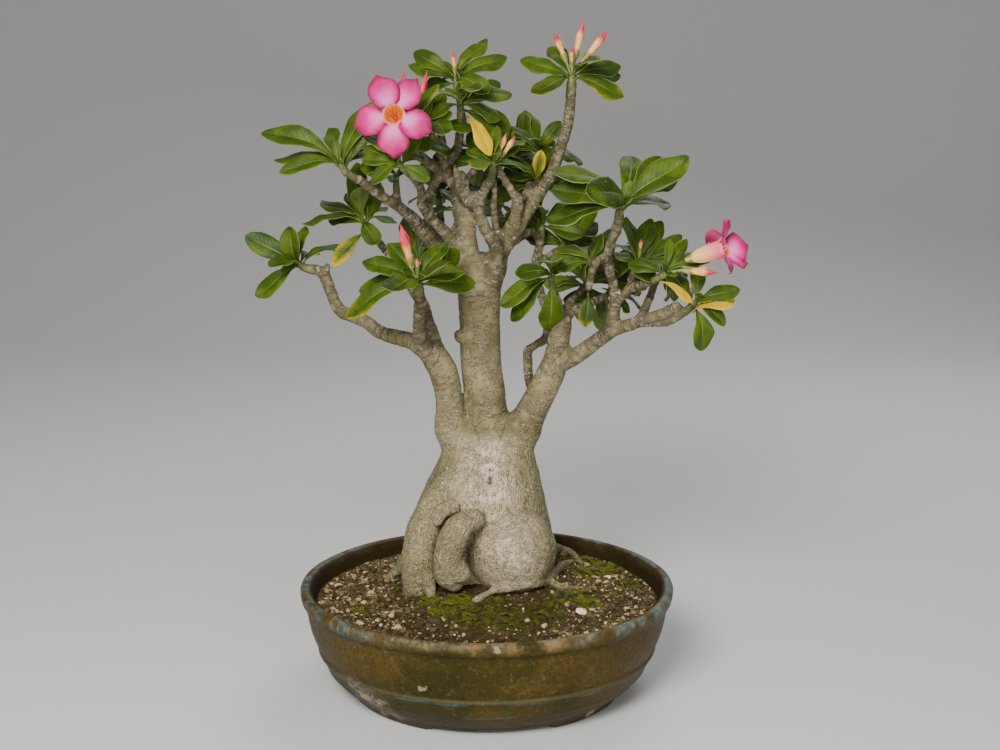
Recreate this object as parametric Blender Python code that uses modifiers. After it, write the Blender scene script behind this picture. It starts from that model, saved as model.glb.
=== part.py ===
"""Desert rose bonsai (Adenium) in a round glazed pot.

Metres, +Z up, the pot's axis is the Z axis and the ground is Z = 0. -Y is the front.
Limbs, leaf tips and flowers are laid out as rows of (x, y) pixels of a 1000 x 750 photograph
with a depth along Y in millimetres, which the sight line through that pixel turns into a place.
"""
import math
import random

import bmesh
import bpy
from mathutils import Matrix, Vector
from mathutils.bvhtree import BVHTree

MM = 0.001

# Driving dimensions of the pot and its soil, millimetres
POT_HEIGHT = 80.0
RIM_RADIUS = 140.0
RIM_WIDTH = 8.0
LIP_HEIGHT = 10.0
WALL = 8.0
FLOOR_TOP = 12.0
FOOT_RADIUS = 102.0
FOOT_WIDTH = 20.0
FOOT_HEIGHT = 4.0
FOOT_GAP_WIDTH = 92.0
FOOT_GAP_ANGLE = -88.0
DRAIN_RADIUS = 9.0
SCREEN_RADIUS = 17.0
SCREEN_THICKNESS = 1.6
SOIL_EDGE = 68.0
SOIL_MOUND = 83.0
MOUND_CENTRE = (2.0, 22.0)
MOUND_REACH = 85.0
TURN_STEPS = 28

# Clearances between neighbours, millimetres: glued joints, wood in soil, and leaf to leaf
GAP = 0.35
ROOT_GAP = 0.5
CLEARANCE = 0.5
# Turns and lifts in degrees that a leaf tries, in order, to get clear of its neighbours
SWINGS = [(turn, lift) for lift in (0, 14, -14, 28) for turn in (0, 12, -12, 24, -24, 38, -38)]

# The viewpoint that the pixel rows were read from
FOCAL_PX = 1667.0
CENTRE_PX = (500.0, 375.0)
EYE = Vector((9.8, -1201.5, 471.1))
PITCH = math.radians(11.0)

# Inside of the pot's wall, floor to rim: (radius mm, height mm)
INNER_WALL = [(FOOT_RADIUS - 2, FLOOR_TOP), (FOOT_RADIUS + 10, 20), (RIM_RADIUS - 14.5 - WALL, 34),
              (RIM_RADIUS - 6 - WALL, 58), (RIM_RADIUS - RIM_WIDTH, POT_HEIGHT - 2)]

# Leaves and petals: shares of the length where a blade has a pair of edge points
LEAF_THICKNESS = 0.8
LEAF_WIDTH_RATIO = 0.36
LEAF_STATIONS = (0.0, 0.42, 0.78, 1.0)
FAR_LEAF_STATIONS = (0.0, 0.62, 1.0)
FAR_LEAN = 0.28
PETAL_STATIONS = (0.0, 0.4, 0.82, 1.0)
# Throat, lip, mid tube and foot of a bloom's funnel: radii in millimetres
BLOOM_RADII = (6.4, 7.6, 5.8, 2.6, 2.0)
BLOOM_THROAT_DEPTH = 9.0
# Limbs thicker than this get eight sides, and paths keep within the tolerance of their rows
THICK_LIMB = 26.0
PATH_TOLERANCE = 1.2

# Woody limbs: (px, py, depth mm, diameter mm), base first
LIMBS = {
    "mid_trunk": [(487, 436, 20, 38), (485, 396, 20, 31), (481, 363, 22, 30), (480, 330, 22, 30),
                  (479, 297, 20, 31), (480, 274, 18, 34)],
    "mid_burl": [(472, 338, 16, 18), (461, 336, 12, 11)],
    "left_trunk": [(468, 450, 16, 40), (453, 430, 12, 27), (450, 408, 10, 21), (448, 390, 8, 20),
                   (443, 371, 6, 21), (435, 357, 4, 20)],
    "left_fork": [(438, 363, 6, 18), (424, 349, 2, 14), (411, 341, 4, 12.5), (396, 337, 8, 11),
                  (380, 332, 14, 10), (366, 322, 20, 10), (350, 315.5, 26, 9.5), (341, 311, 30, 9.5),
                  (333, 298, 34, 9), (326, 279, 38, 8.5), (320, 271, 40, 8), (307, 268.5, 43, 7)],
    "left_stub": [(324, 277, 39, 8), (327.5, 266, 38, 5)],
    "front_left_stem": [(430, 356, 2, 13), (420, 340, -8, 10), (419, 320, -22, 9), (420, 303, -33, 8.5),
                        (419, 294, -40, 8)],
    "left_back": [(438, 362, 6, 18), (433, 342, 14, 13), (427, 322, 22, 11), (420, 300, 30, 9.5),
                  (404, 276, 38, 7.5), (390, 256, 44, 6.5), (377, 240, 48, 6), (368, 229, 50, 5.5)],
    "left_back_twig": [(420, 300, 30, 8), (419, 282, 38, 6), (417, 266, 44, 5)],
    "right_trunk": [(506, 450, 18, 44), (521, 430, 15, 30), (531, 412, 13, 23), (540, 395, 10, 22),
                    (549, 377, 8, 21), (556, 358, 6, 18), (559, 340, 5, 16), (562, 321, 3, 14)],
    "right_bent": [(537, 400, 18, 10), (530, 384, 26, 7), (528, 366, 30, 7), (528, 351, 31, 7),
                   (537, 344, 32, 6), (547, 335, 35, 6.5), (545, 306, 38, 6.5), (538, 285, 40, 6.5),
                   (536, 264, 42, 6.5), (540, 245, 42, 6.5), (541.5, 233, 40, 6)],
    "right_bent_twig": [(536, 262, 42, 6), (544, 258, 45, 5), (554, 253, 48, 5), (561, 248, 50, 5)],
    "right_twig_front": [(562, 322, 2, 9), (558, 303, -5, 6), (554.5, 291, -10, 5.5), (552, 283, -13, 5.5)],
    "right_twig_back": [(563, 322, 5, 9), (567, 306, 12, 6), (575, 296, 20, 5.5), (584, 287, 30, 5)],
    "right_twig_side": [(563, 323, 4, 9), (574, 310, 8, 6.5), (592, 302, 18, 6), (604, 297, 28, 5.5)],
    "right_arm": [(553, 367, 6, 15), (567, 360, 2, 13.5), (582, 352, -5, 12), (600, 338.5, -14, 10.5),
                  (614, 330, -20, 10), (627, 325.5, -24, 9), (641, 321, -28, 8.5), (659, 315, -31, 8),
                  (677, 306.5, -33, 7)],
    "right_arm_low": [(640, 322, -28, 7), (657, 322.5, -29, 6.5), (669, 320.5, -30, 7),
                      (682, 314, -33, 6), (691, 307, -36, 6)],
    "right_upright": [(606, 334, -17, 11), (612, 324, -18, 10), (614, 310, -18, 9.5), (616.5, 297, -18, 9)],
    "right_tall": [(616, 300, -18, 8.5), (613, 285, -21, 7), (610, 270, -26, 7), (607.5, 257, -31, 7),
                   (611, 243, -36, 7), (616, 230, -41, 7), (619, 219, -45, 7)],
    "right_hanging": [(608, 258, -31, 7), (600, 259, -35, 6.5), (594, 266, -39, 6), (591, 276, -42, 5.5),
                      (588.5, 288, -45, 5)],
    "right_short": [(601, 259, -35, 6), (596, 261, -30, 5), (591.5, 262.5, -24, 5)],
    "right_bloom_arm": [(616, 299, -18, 8.5), (624, 295, -22, 7), (632, 288.5, -27, 7),
                        (642, 285, -33, 6.5), (652, 281, -40, 6.5), (661, 276.5, -47, 6)],
    "right_middle_twig": [(631, 290, -26, 6.5), (632, 279, -17, 6), (636, 268, -10, 5.5)],
    "right_back_twig": [(641, 319, -27, 7), (647, 304, -14, 6), (652, 292, -4, 5.5), (655, 284, 4, 5)],
    "crown_left": [(473, 278, 14, 22), (464, 261, 10, 13), (458.5, 250, 8, 11), (451, 239, 6, 9.5),
                   (440, 227, 4, 8.5), (433, 221, 2, 8), (428, 214, 0, 8)],
    "crown_left_bloom": [(429, 216, 0, 8), (422, 205, -6, 7), (421.5, 195, -14, 6.5), (418.5, 184, -24, 6),
                         (410, 175, -32, 5.5), (404, 169.5, -38, 5)],
    "crown_left_rise": [(429, 215, 0, 8), (427.5, 200, 4, 7), (432, 189, 8, 7), (437, 179, 11, 7.5),
                        (444, 174, 13, 9)],
    "crown_left_twig": [(452, 238, 8, 7), (457, 222, 20, 5), (456, 213, 27, 5)],
    "olive_limb": [(474, 278, 22, 22), (456, 263, 30, 15), (441, 251, 33, 13), (430, 239, 30, 12),
                   (420, 227, 25, 10.5), (410, 216, 18, 9), (396.5, 205, 8, 8), (384, 198, 2, 7),
                   (373.5, 190.5, -3, 6.5), (362, 182, -7, 6.5), (353, 177, -9, 6), (346, 171.5, -11, 6)],
    "olive_twig": [(397, 205, 8, 7), (396.5, 191, 6, 5.5), (396, 180, 4, 5)],
    "crown_middle": [(477, 276, 14, 26), (471, 254, 9, 13), (468, 238, 8, 13), (464.5, 220, 9, 12.5),
                     (460, 206, 12, 11), (455, 194, 14, 10)],
    "crown_right": [(489, 278, 14, 22), (497, 260, 10, 11), (495, 246, 8, 10), (489, 235, 6, 9),
                    (484, 226, 5, 8.5), (480, 215, 4, 8.5), (477, 206, 3, 8.5), (467, 199, 3, 8.5),
                    (457, 187, 8, 8.5), (448, 176, 13, 9.5), (446.5, 166, 14, 9), (447, 159, 13, 8.5)],
    "crown_top_left": [(447, 163, 13, 8), (441.5, 154, 8, 6.5), (436, 144, 2, 6), (432, 135, -3, 5.5)],
    "crown_top_stub": [(446.5, 160, 13, 7), (444, 147, 12, 6), (440.5, 135, 9, 6)],
    "crown_top_right": [(447.5, 162, 14, 8), (454.5, 155, 13, 7), (458.5, 144, 11, 6.5),
                        (460, 131, 7, 6), (461, 119, 3, 5.5), (460.5, 111, 1, 5.5)],
    "crown_top_back": [(459, 138, 10, 6), (463, 124, 17, 5), (460, 104, 20, 5), (456.5, 87, 20, 5)],
    "bloom_arm_left": [(446, 177, 15, 9.5), (437.5, 169.5, 9, 8), (428, 161.5, 1, 7), (418, 154, -7, 6.5),
                       (410, 146, -13, 6)],
    "crown_knob": [(477, 206, 2, 8), (473.5, 195, 0, 6)],
    "dead_spike": [(460, 192, 3, 6.5), (457, 178, 0, 5), (454.5, 165, -3, 2.5)],
    "cut_stub": [(468, 200, 4, 7), (464.5, 185, 3, 6), (462, 173.5, 2, 5.5)],
    "crown_inner_twig": [(464.5, 186, 3, 6), (468, 178, 8, 5.5), (473.5, 171, 13, 5), (478, 166, 17, 5)],
    "crown_centre_arm": [(479, 206, 3, 8), (484.5, 190, 0, 7), (490, 181, -3, 7), (492.5, 171, -5, 6)],
    "crown_upright": [(498, 244, 14, 8), (495, 222, 15, 5.5), (494, 203, 11, 5), (494, 188, 5, 5),
                      (492.5, 177, 0, 5)],
    "main_right": [(492, 270, 16, 22), (501, 250, 16, 14), (509, 237, 17, 14.5), (516, 226, 18, 14.5),
                   (523, 215, 18, 12.5), (533.5, 202, 18, 10.5), (542.5, 188, 18, 9.5),
                   (551, 175, 18, 9), (557.5, 157, 17, 8.5), (563, 140, 16, 8), (568, 124, 15, 7.5),
                   (570.3, 100, 14, 7.5), (571.5, 85, 13, 7.5)],
    "main_right_knob": [(513, 229, 14, 10), (516.5, 211, 9, 9), (518, 198, 6, 8)],
    "main_right_arm": [(518, 202, 7, 7), (509.5, 187, 5, 6), (501, 174, 6, 5.5), (498.5, 168, 8, 5)],
    "main_right_twig": [(520, 200, 8, 6), (525, 196, 13, 5), (531, 191, 22, 5), (536.5, 184.5, 31, 5)],
    "main_right_back": [(525, 196, 14, 5), (528, 186, 30, 5), (532, 171, 42, 5), (538, 157, 47, 5)],
    "main_right_low": [(514, 240, 18, 9), (522, 235.5, 24, 7), (531, 231, 31, 6.5), (539.5, 239, 41, 5.5)],
    "back_high": [(523, 215, 20, 8), (518, 201, 42, 5.5), (514, 187, 56, 5)],
    "back_middle": [(505, 240, 22, 9), (503, 224, 52, 6), (498, 209, 74, 5)],
    "back_left": [(441, 250, 34, 9), (441, 226, 58, 6), (439, 202, 70, 5)],
}

# Old roots that run over the soil: (px, py, height mm, diameter mm)
SOIL_ROOTS = {
    "root_front": [(573, 561, 78, 4.5), (562, 566, 80.5, 6), (549, 579, 84, 6.5), (536, 583, 86.5, 7),
                   (520, 585.5, 87, 7), (506, 588.5, 85, 6.5), (494, 590.5, 83, 6), (484, 596, 81, 5.5),
                   (474, 601, 78, 4.5)],
    "root_front_fork": [(549, 580, 84, 6), (560, 587, 80.5, 5.5), (573, 588.5, 77, 4.5)],
    "root_right": [(532, 552, 90, 12), (553, 548, 86, 9), (562, 549, 82, 6), (572, 553, 80, 5),
                   (582, 564, 77, 4)],
    "root_left": [(407, 560, 90, 14), (396, 572, 80, 9), (388, 580, 76, 6)],
    "root_back": [(487, 532, 96, 16), (470, 546, 81, 8), (460, 549, 77, 5)],
    "toe_left": [(419, 574, 92, 13), (420, 588, 82, 10)],
    "toe_front": [(428, 576, 92, 12), (431, 594, 80, 8)],
}

# Caudex sections: (py, left px, right px, half depth mm, depth mm)
CAUDEX = [(424, 464, 517, 17, 18), (436, 450, 530, 25, 18), (448, 443, 534, 30, 19),
          (462, 437, 537, 35, 20), (476, 430, 540, 40, 22), (491, 423, 543, 45, 23),
          (507, 416, 547, 48, 28), (524, 412, 551, 49, 31), (541, 411, 553, 50, 34),
          (558, 411, 553, 50, 34), (577, 413, 551, 47, 33), (600, 420, 543, 41, 30)]
CAUDEX_LOBES = {
    "left_leg": [(452, 478, 8, 22), (437, 504, -5, 25), (426, 525, -13, 25.5), (420, 547, -17, 26),
                 (419, 568, -18, 28), (419, 592, -14, 24)],
    "finger": [(480, 520, -22, 12), (470, 520, -31, 17), (459, 528, -38, 20), (451.5, 544, -41, 21.5),
               (448.5, 560, -41, 21.5), (448, 580, -35, 21.5), (450, 598, -30, 17)],
    "finger_knob": [(456, 567, -40, 17), (462, 574, -40, 13.5)],
    "fold": [(455, 506, -18, 13), (442, 512, -26, 12), (438, 521, -28, 9)],
}
RIGHT_BULB = ((511.5, 550, -8), (33.5, 32, 34))

# Leaf sprays: base (px, py, depth), the limb that carries it, leaf length mm,
# and leaf tips (px, py, lean) with lean from -1 (towards the front) to 1 (away)
SPRAYS = {
    "leaves_left_high": ("olive_limb", (340, 165, -12), 60, 1,
        [(261, 133, -0.1), (279, 173, -0.5), (329, 128, 0.6), (365, 106, 0.1), (388, 160, 0.5),
         (372, 146, 0.8)]),
    "leaves_crown_back": ("crown_top_back", (455.5, 78, 20), 46, 0,
        [(414, 52, 0.2), (408, 65, -0.2), (487, 43, 0.3), (507, 57, -0.1), (489, 92, -0.8),
         (438, 89, 0.7)]),
    "leaves_crown_top": ("crown_top_right", (460, 103, 0), 50, 0,
        [(448, 93, -0.95), (479, 90, -0.8), (429, 118, -0.4), (512, 94, 0.3), (501, 119, 0.2),
         (489, 110, 0.9)]),
    "leaves_main_top": ("main_right", (572, 77, 12), 46, 0,
        [(520, 60, 0.0), (531, 93, -0.6), (621, 66, 0.2), (624, 97, -0.3), (549, 47, 0.6),
         (600, 60, -0.8)]),
    "leaves_right_tall": ("right_tall", (620, 207, -50), 64, 0,
        [(689, 156, -0.1), (632, 156, 0.6), (586, 191, -0.9), (549, 170, -0.2), (551, 189, 0.2),
         (545, 220, 0.1), (670, 203, 0.6), (643, 193, 0.9)]),
    "leaves_far_left": ("left_fork", (299, 265, 45), 48, 1,
        [(245, 235, -0.1), (255, 296, -0.2), (269, 267, -0.8), (289, 226, -0.4), (305, 226, 0.5),
         (314, 255, 0.7)]),
    "leaves_left_low": ("left_back", (363, 221, 52), 50, 0,
        [(302, 224, 0.0), (320, 203, 0.4), (361, 187, -0.5), (387, 207, 0.4), (397, 223, -0.3),
         (378, 244, -0.6)]),
    "leaves_front_left": ("front_left_stem", (418, 283, -46), 58, 0,
        [(346, 318, -0.2), (359, 291, 0.3), (384, 288, -0.95), (362, 262, -0.1), (388, 243, 0.2),
         (447, 242, 0.2), (459, 250, 0.5), (443, 266, -0.9), (465, 272, -0.1)]),
    "leaves_left_bloom": ("crown_left_bloom", (399, 164, -43), 44, 0,
        [(372, 184, -0.4), (362, 160, 0.1), (430, 180, -0.2), (424, 158, 0.6), (385, 150, 0.8)]),
    "leaves_bloom_arm": ("bloom_arm_left", (407, 139, -16), 44, 0,
        [(439, 84, 0.1), (424, 86, 0.5), (372, 130, 0.5), (385, 105, 0.8), (430, 150, -0.4)]),
    "leaves_crown_left": ("crown_top_left", (431, 128, -6), 40, 0,
        [(446, 134, -0.95), (452, 112, -0.2), (412, 108, 0.6), (440, 98, 0.7)]),
    "leaves_crown_inner": ("crown_inner_twig", (481, 161, 20), 44, 0,
        [(500, 128, 0.4), (462, 140, 0.5), (505, 152, 0.8), (474, 186, 0.4)]),
    "leaves_crown_centre": ("crown_centre_arm", (493, 163, -7), 40, 0,
        [(471, 167, -0.8), (466, 150, 0.2), (489, 124, 0.5)]),
    "leaves_main_arm": ("main_right_arm", (496, 160, 10), 40, 0,
        [(478, 120, 0.7), (525, 140, 0.5), (516, 160, 0.9)]),
    "leaves_main_twig": ("main_right_twig", (539, 180, 36), 42, 0,
        [(505, 156, 0.0), (512, 178, -0.2), (558, 196, 0.6), (520, 200, 0.5)]),
    "leaves_main_back": ("main_right_back", (539.5, 151, 48), 44, 0,
        [(517, 134, 0.5), (499, 146, 0.1), (561, 121, -0.2), (535, 138, -0.95), (560, 150, 0.7)]),
    "leaves_main_low": ("right_bent", (542, 224, 39), 50, 0,
        [(585, 234, -0.4), (582, 205, 0.3), (541, 206, -0.9), (578, 252, -0.1), (512, 222, 0.8),
         (528, 196, 0.6)]),
    "leaves_back_right": ("right_bent_twig", (566, 243, 54), 46, 0,
        [(588, 262, -0.1), (604, 236, 0.3), (572, 214, 0.5), (556, 270, 0.6)]),
    "leaves_right_front": ("right_twig_front", (551, 276, -16), 50, 0,
        [(515, 274, -0.5), (500, 306, -0.1), (511, 321, 0.2), (549, 262, -0.95), (549, 331, 0.6),
         (575, 262, 0.5)]),
    "leaves_right_short": ("right_short", (588, 263, -20), 42, 0,
        [(556, 270, -0.3), (571, 248, 0.2), (589, 246, 0.9), (602, 234, -0.2)]),
    "leaves_right_low": ("right_twig_back", (586.5, 283, 35), 44, 0,
        [(566, 266, 0.6), (606, 264, 0.8), (602, 320, 0.2), (582, 322, 0.5), (560, 290, 0.9)]),
    "leaves_right_side": ("right_twig_side", (608, 294, 34), 44, 0,
        [(630, 312, 0.2), (640, 290, 0.6), (620, 270, 0.9), (600, 330, 0.6)]),
    "leaves_right_middle": ("right_middle_twig", (638.5, 262, -8), 46, 0,
        [(682, 235, 0.2), (614, 254, -0.4), (616, 244, 0.5), (666, 265, -0.4), (648, 282, -0.9),
         (614, 277, 0.1), (637, 242, 0.9)]),
    "leaves_right_back": ("right_back_twig", (657, 279, 9), 40, 0,
        [(688, 292, 0.3), (673, 252, 0.8), (636, 296, 0.7), (672, 300, 0.9)]),
    "leaves_right_bloom": ("right_bloom_arm", (665.5, 273, -51), 42, 0,
        [(670, 238, 0.2), (687, 239, 0.4), (668, 300, 0.6), (640, 268, 0.9)]),
    "leaves_far_right": ("right_arm_low", (695, 302.5, -38), 48, 0,
        [(740, 289, -0.1), (735, 300, 0.3), (725, 326, -0.3), (702, 351, 0.0), (698, 266, 0.2),
         (676, 284, 0.7)]),
    "leaves_back_high": ("back_high", (512.5, 181, 62), 46, 0,
        [(495, 150, 0.3), (530, 158, 0.4), (492, 196, 0.1), (530, 206, 0.3), (512, 190, 0.95)]),
    "leaves_back_middle": ("back_middle", (497, 203, 80), 44, 0,
        [(476, 190, 0.2), (470, 218, 0.3), (520, 222, 0.2), (515, 190, 0.6), (497, 212, 0.95)]),
    "leaves_back_left": ("back_left", (438.5, 196, 73), 46, 0,
        [(410, 178, 0.2), (408, 204, 0.4), (462, 208, 0.1), (458, 172, 0.4), (437, 205, 0.95)]),
    "leaves_left_inner": ("left_back_twig", (416.5, 260, 47), 46, 0,
        [(388, 244, 0.3), (384, 268, 0.2), (440, 242, 0.3), (438, 276, 0.6), (414, 262, 0.95)]),
    "leaves_inner_low": ("crown_left_twig", (456, 208, 31), 34, 0,
        [(470, 190, 0.4), (440, 214, 0.3), (476, 216, 0.6)]),
    "leaves_olive_twig": ("olive_twig", (395.5, 175, 2), 20, 0,
        [(384, 166, 0.3), (390, 182, -0.8), (404, 168, 0.5)]),
}

# Leaves that have turned: a place next to the limb that bears it (px, py, depth),
# tip (px, py, depth), width mm
TURNED_LEAVES = {
    "yellow_leaf_crown": ((465.5, 115.5, -1), (490.5, 156, -16), 14.0),
    "yellow_leaf_twig": ((536, 180, 23), (541, 150, 18), 10.0),
    "yellow_leaf_left": ((365, 233, 46), (332, 266, 34), 13.0),
    "yellow_leaf_right": ((660, 282, -49), (692.5, 303, -60), 8.5),
    "yellow_leaf_far_right": ((692, 312, -40), (735, 306, -54), 9.0),
    "leaf_hanging": ((588, 292.5, -47), (585, 327, -52), 12.0),
}

# Buds: root (px, py, depth), tip (px, py, depth), largest diameter mm
BUDS = {
    "bud_front_left": ((412, 268, -52), (400.5, 224.5, -58), 7.8),
    "bud_front_left_small": ((417.5, 269, -50), (417, 258, -52), 3.2),
    "bud_bloom_arm_a": ((406, 117, -14), (403.5, 70, -10), 5.6),
    "bud_bloom_arm_b": ((416, 117, -10), (427, 71, -6), 5.2),
    "bud_crown_back": ((455, 72, 17), (452.5, 50.5, 14), 4.0),
    "bud_main_top_a": ((566, 61, 8), (554, 32, 4), 5.2),
    "bud_main_top_b": ((574.5, 60, 10), (583.5, 20, 8), 5.8),
    "bud_main_top_c": ((582, 62, 12), (608.5, 30, 14), 6.2),
    "bud_main_top_d": ((572, 66, 5), (571.5, 46, 2), 3.4),
    "bud_main_arm_a": ((497, 157, 3), (506.5, 133, 1), 4.6),
    "bud_main_arm_b": ((501, 157.5, 6), (515.5, 136, 6), 4.6),
    "bud_right_bloom": ((683, 270.5, -59), (717, 272.5, -66), 6.4),
    "bud_right_middle": ((640, 251, -12), (641.5, 238.5, -13), 3.4),
}

# Open blooms: tube foot, mouth centre (px, py, depth), petal tips (px, py, depth), petal width mm
BLOOMS = {
    "bloom_left": ((401, 128, -24), (393.5, 114, -48), 22.0,
        [(376, 75, -50), (417, 78, -48), (432, 132, -56), (393, 158, -60), (354, 124, -54)]),
    "bloom_right": ((686, 260, -60), (725.5, 247.5, -72), 22.0,
        [(730.5, 220, -74), (749, 245, -60), (749, 263, -62), (732, 273.5, -76), (709.5, 241, -50)]),
}


def sight(px, py, depth):
    """Point in metres where the sight line through a pixel meets the plane Y = depth mm."""
    across = (px - CENTRE_PX[0]) / FOCAL_PX
    up = (CENTRE_PX[1] - py) / FOCAL_PX
    ray = Vector((across, math.cos(PITCH) + up * math.sin(PITCH), up * math.cos(PITCH) - math.sin(PITCH)))
    return (EYE + ray * ((depth - EYE.y) / ray.y)) * MM


def sight_at_height(px, py, height):
    """Point in metres where the sight line through a pixel meets the plane Z = height mm."""
    ray = sight(px, py, 0.0) / MM - EYE
    return (EYE + ray * ((height - EYE.z) / ray.z)) * MM


def clear_scene():
    """Remove every object that is in the scene."""
    for thing in list(bpy.data.objects):
        bpy.data.objects.remove(thing, do_unlink=True)


def collection(name):
    """A new collection in the scene."""
    group = bpy.data.collections.new(name)
    bpy.context.scene.collection.children.link(group)
    return group


def material(name, colour, roughness, metallic=0.0):
    """A plain Principled material."""
    mat = bpy.data.materials.new(name)
    mat.use_nodes = True
    shader = mat.node_tree.nodes["Principled BSDF"]
    shader.inputs["Base Color"].default_value = (*colour, 1.0)
    shader.inputs["Roughness"].default_value = roughness
    shader.inputs["Metallic"].default_value = metallic
    return mat


def object_from_bmesh(name, bm, group):
    """Link a bmesh as a new object."""
    mesh = bpy.data.meshes.new(name)
    bm.to_mesh(mesh)
    bm.free()
    thing = bpy.data.objects.new(name, mesh)
    group.objects.link(thing)
    return thing


def finish(thing, mat, smooth_angle=math.radians(50)):
    """Give a solid its material and smooth shading."""
    thing.data.materials.clear()
    thing.data.materials.append(mat)
    thing.data.shade_smooth()
    thing.data.set_sharp_from_angle(angle=smooth_angle)


def evaluated_mesh(thing):
    """The mesh of an object with its modifiers, or of a curve, with loose caps welded."""
    graph = bpy.context.evaluated_depsgraph_get()
    mesh = bpy.data.meshes.new_from_object(thing.evaluated_get(graph))
    bm = bmesh.new()
    bm.from_mesh(mesh)
    bmesh.ops.remove_doubles(bm, verts=bm.verts, dist=0.00001)
    bmesh.ops.transform(bm, matrix=thing.matrix_world, verts=bm.verts)
    bm.to_mesh(mesh)
    bm.free()
    return mesh


def tube(name, points, diameters, group, resolution):
    """A closed tube of changing diameter along points, as a mesh object."""
    curve = bpy.data.curves.new(name, "CURVE")
    curve.dimensions = "3D"
    curve.bevel_depth = 1.0
    curve.bevel_resolution = resolution
    curve.use_fill_caps = True
    spline = curve.splines.new("POLY")
    spline.points.add(len(points) - 1)
    for point, place, diameter in zip(spline.points, points, diameters):
        point.co = (*place, 1.0)
        point.radius = diameter * MM / 2
    holder = bpy.data.objects.new(name, curve)
    group.objects.link(holder)
    bpy.context.view_layer.update()
    mesh = evaluated_mesh(holder)
    bpy.data.objects.remove(holder, do_unlink=True)
    bpy.data.curves.remove(curve)
    thing = bpy.data.objects.new(name, mesh)
    group.objects.link(thing)
    return thing


def fuse(base, group, solver="EXACT"):
    """Join every solid of a collection to base by one Boolean union, and remove them."""
    union = base.modifiers.new("union", "BOOLEAN")
    union.operation = "UNION"
    union.operand_type = "COLLECTION"
    union.collection = group
    union.solver = solver
    bpy.context.view_layer.update()
    mesh = evaluated_mesh(base)
    base.modifiers.clear()
    base.data = mesh
    base.matrix_world = Matrix.Identity(4)
    for piece in list(group.objects):
        bpy.data.objects.remove(piece, do_unlink=True)
    bpy.data.collections.remove(group)
    return base


def turned(name, profile, group, steps):
    """A solid of revolution about Z from a closed profile of (radius, height) mm."""
    bm = bmesh.new()
    verts = [bm.verts.new((radius * MM, 0.0, height * MM)) for radius, height in profile]
    for here, after in zip(verts, verts[1:] + verts[:1]):
        bm.edges.new((here, after))
    thing = object_from_bmesh(name, bm, group)
    screw = thing.modifiers.new("turn", "SCREW")
    screw.steps = steps
    screw.render_steps = steps
    screw.use_merge_vertices = True
    screw.merge_threshold = 0.00001
    screw.use_smooth_shade = True
    return thing


def build_pot(parts, cutters):
    """Turned pot with a rolled lip, a raised line, a drain hole and three feet."""
    outer = [(RIM_RADIUS - RIM_WIDTH + 1, POT_HEIGHT), (RIM_RADIUS - 1.5, POT_HEIGHT),
             (RIM_RADIUS, POT_HEIGHT - 2), (RIM_RADIUS - 0.6, POT_HEIGHT - LIP_HEIGHT + 1.5),
             (RIM_RADIUS - 4.5, POT_HEIGHT - LIP_HEIGHT - 1), (RIM_RADIUS - 5.5, 58), (RIM_RADIUS - 10, 42),
             (RIM_RADIUS - 13.5, 34.5), (RIM_RADIUS - 12.5, 32.5), (RIM_RADIUS - 14.5, 30.5),
             (RIM_RADIUS - 20, 20), (FOOT_RADIUS + 8, 9), (FOOT_RADIUS + 1.5, 3), (FOOT_RADIUS, 0)]
    under = [(FOOT_RADIUS - FOOT_WIDTH, 0), (FOOT_RADIUS - FOOT_WIDTH - 2, FOOT_HEIGHT),
             (DRAIN_RADIUS, FOOT_HEIGHT)]
    inner = [(DRAIN_RADIUS, FLOOR_TOP)] + INNER_WALL
    pot = turned("pot", outer + under + inner, parts, TURN_STEPS)
    for turn in range(3):
        bm = bmesh.new()
        bmesh.ops.create_cube(bm, size=1.0)
        cutter = object_from_bmesh(f"foot_gap_{turn}", bm, cutters)
        angle = math.radians(FOOT_GAP_ANGLE + 120 * turn)
        reach = FOOT_RADIUS * 0.9
        cutter.scale = (FOOT_RADIUS * 0.8 * MM, FOOT_GAP_WIDTH * MM, 2 * FOOT_HEIGHT * MM)
        cutter.location = (math.cos(angle) * reach * MM, math.sin(angle) * reach * MM, 0.0)
        cutter.rotation_euler = (0.0, 0.0, angle)
        cutter.hide_render = True
        cutter.display_type = "WIRE"
        cut = pot.modifiers.new(cutter.name, "BOOLEAN")
        cut.operation = "DIFFERENCE"
        cut.object = cutter
    finish(pot, material("glaze", (0.10, 0.065, 0.022), 0.3), math.radians(40))
    return pot


def build_drain_screen(parts):
    """Plastic mesh disc on the pot's floor over the drain hole, hidden under the soil."""
    bm = bmesh.new()
    radius = SCREEN_RADIUS * MM
    depth = SCREEN_THICKNESS * MM
    bmesh.ops.create_cone(bm, cap_ends=True, segments=16, radius1=radius, radius2=radius, depth=depth)
    bmesh.ops.translate(bm, verts=bm.verts, vec=(0, 0, (FLOOR_TOP + GAP) * MM + depth / 2))
    screen = object_from_bmesh("drain_screen", bm, parts)
    finish(screen, material("screen_plastic", (0.03, 0.03, 0.03), 0.6))
    return screen


def soil_height(x, y):
    """Height in mm of the soil at a place in mm: mounded round the caudex, uneven, lower at the rim."""
    away = math.hypot(x - MOUND_CENTRE[0], y - MOUND_CENTRE[1])
    rim = math.hypot(x, y)
    mound = (SOIL_MOUND - SOIL_EDGE) * math.exp(-((away / MOUND_REACH) ** 4))
    waves = math.sin(x * 0.075 + 0.6) * math.cos(y * 0.09 - 0.4) + 0.6 * math.sin(x * 0.17 - y * 0.14)
    return SOIL_EDGE + mound + waves * 1.1 * (1 - (rim / RIM_RADIUS) ** 4)


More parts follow.
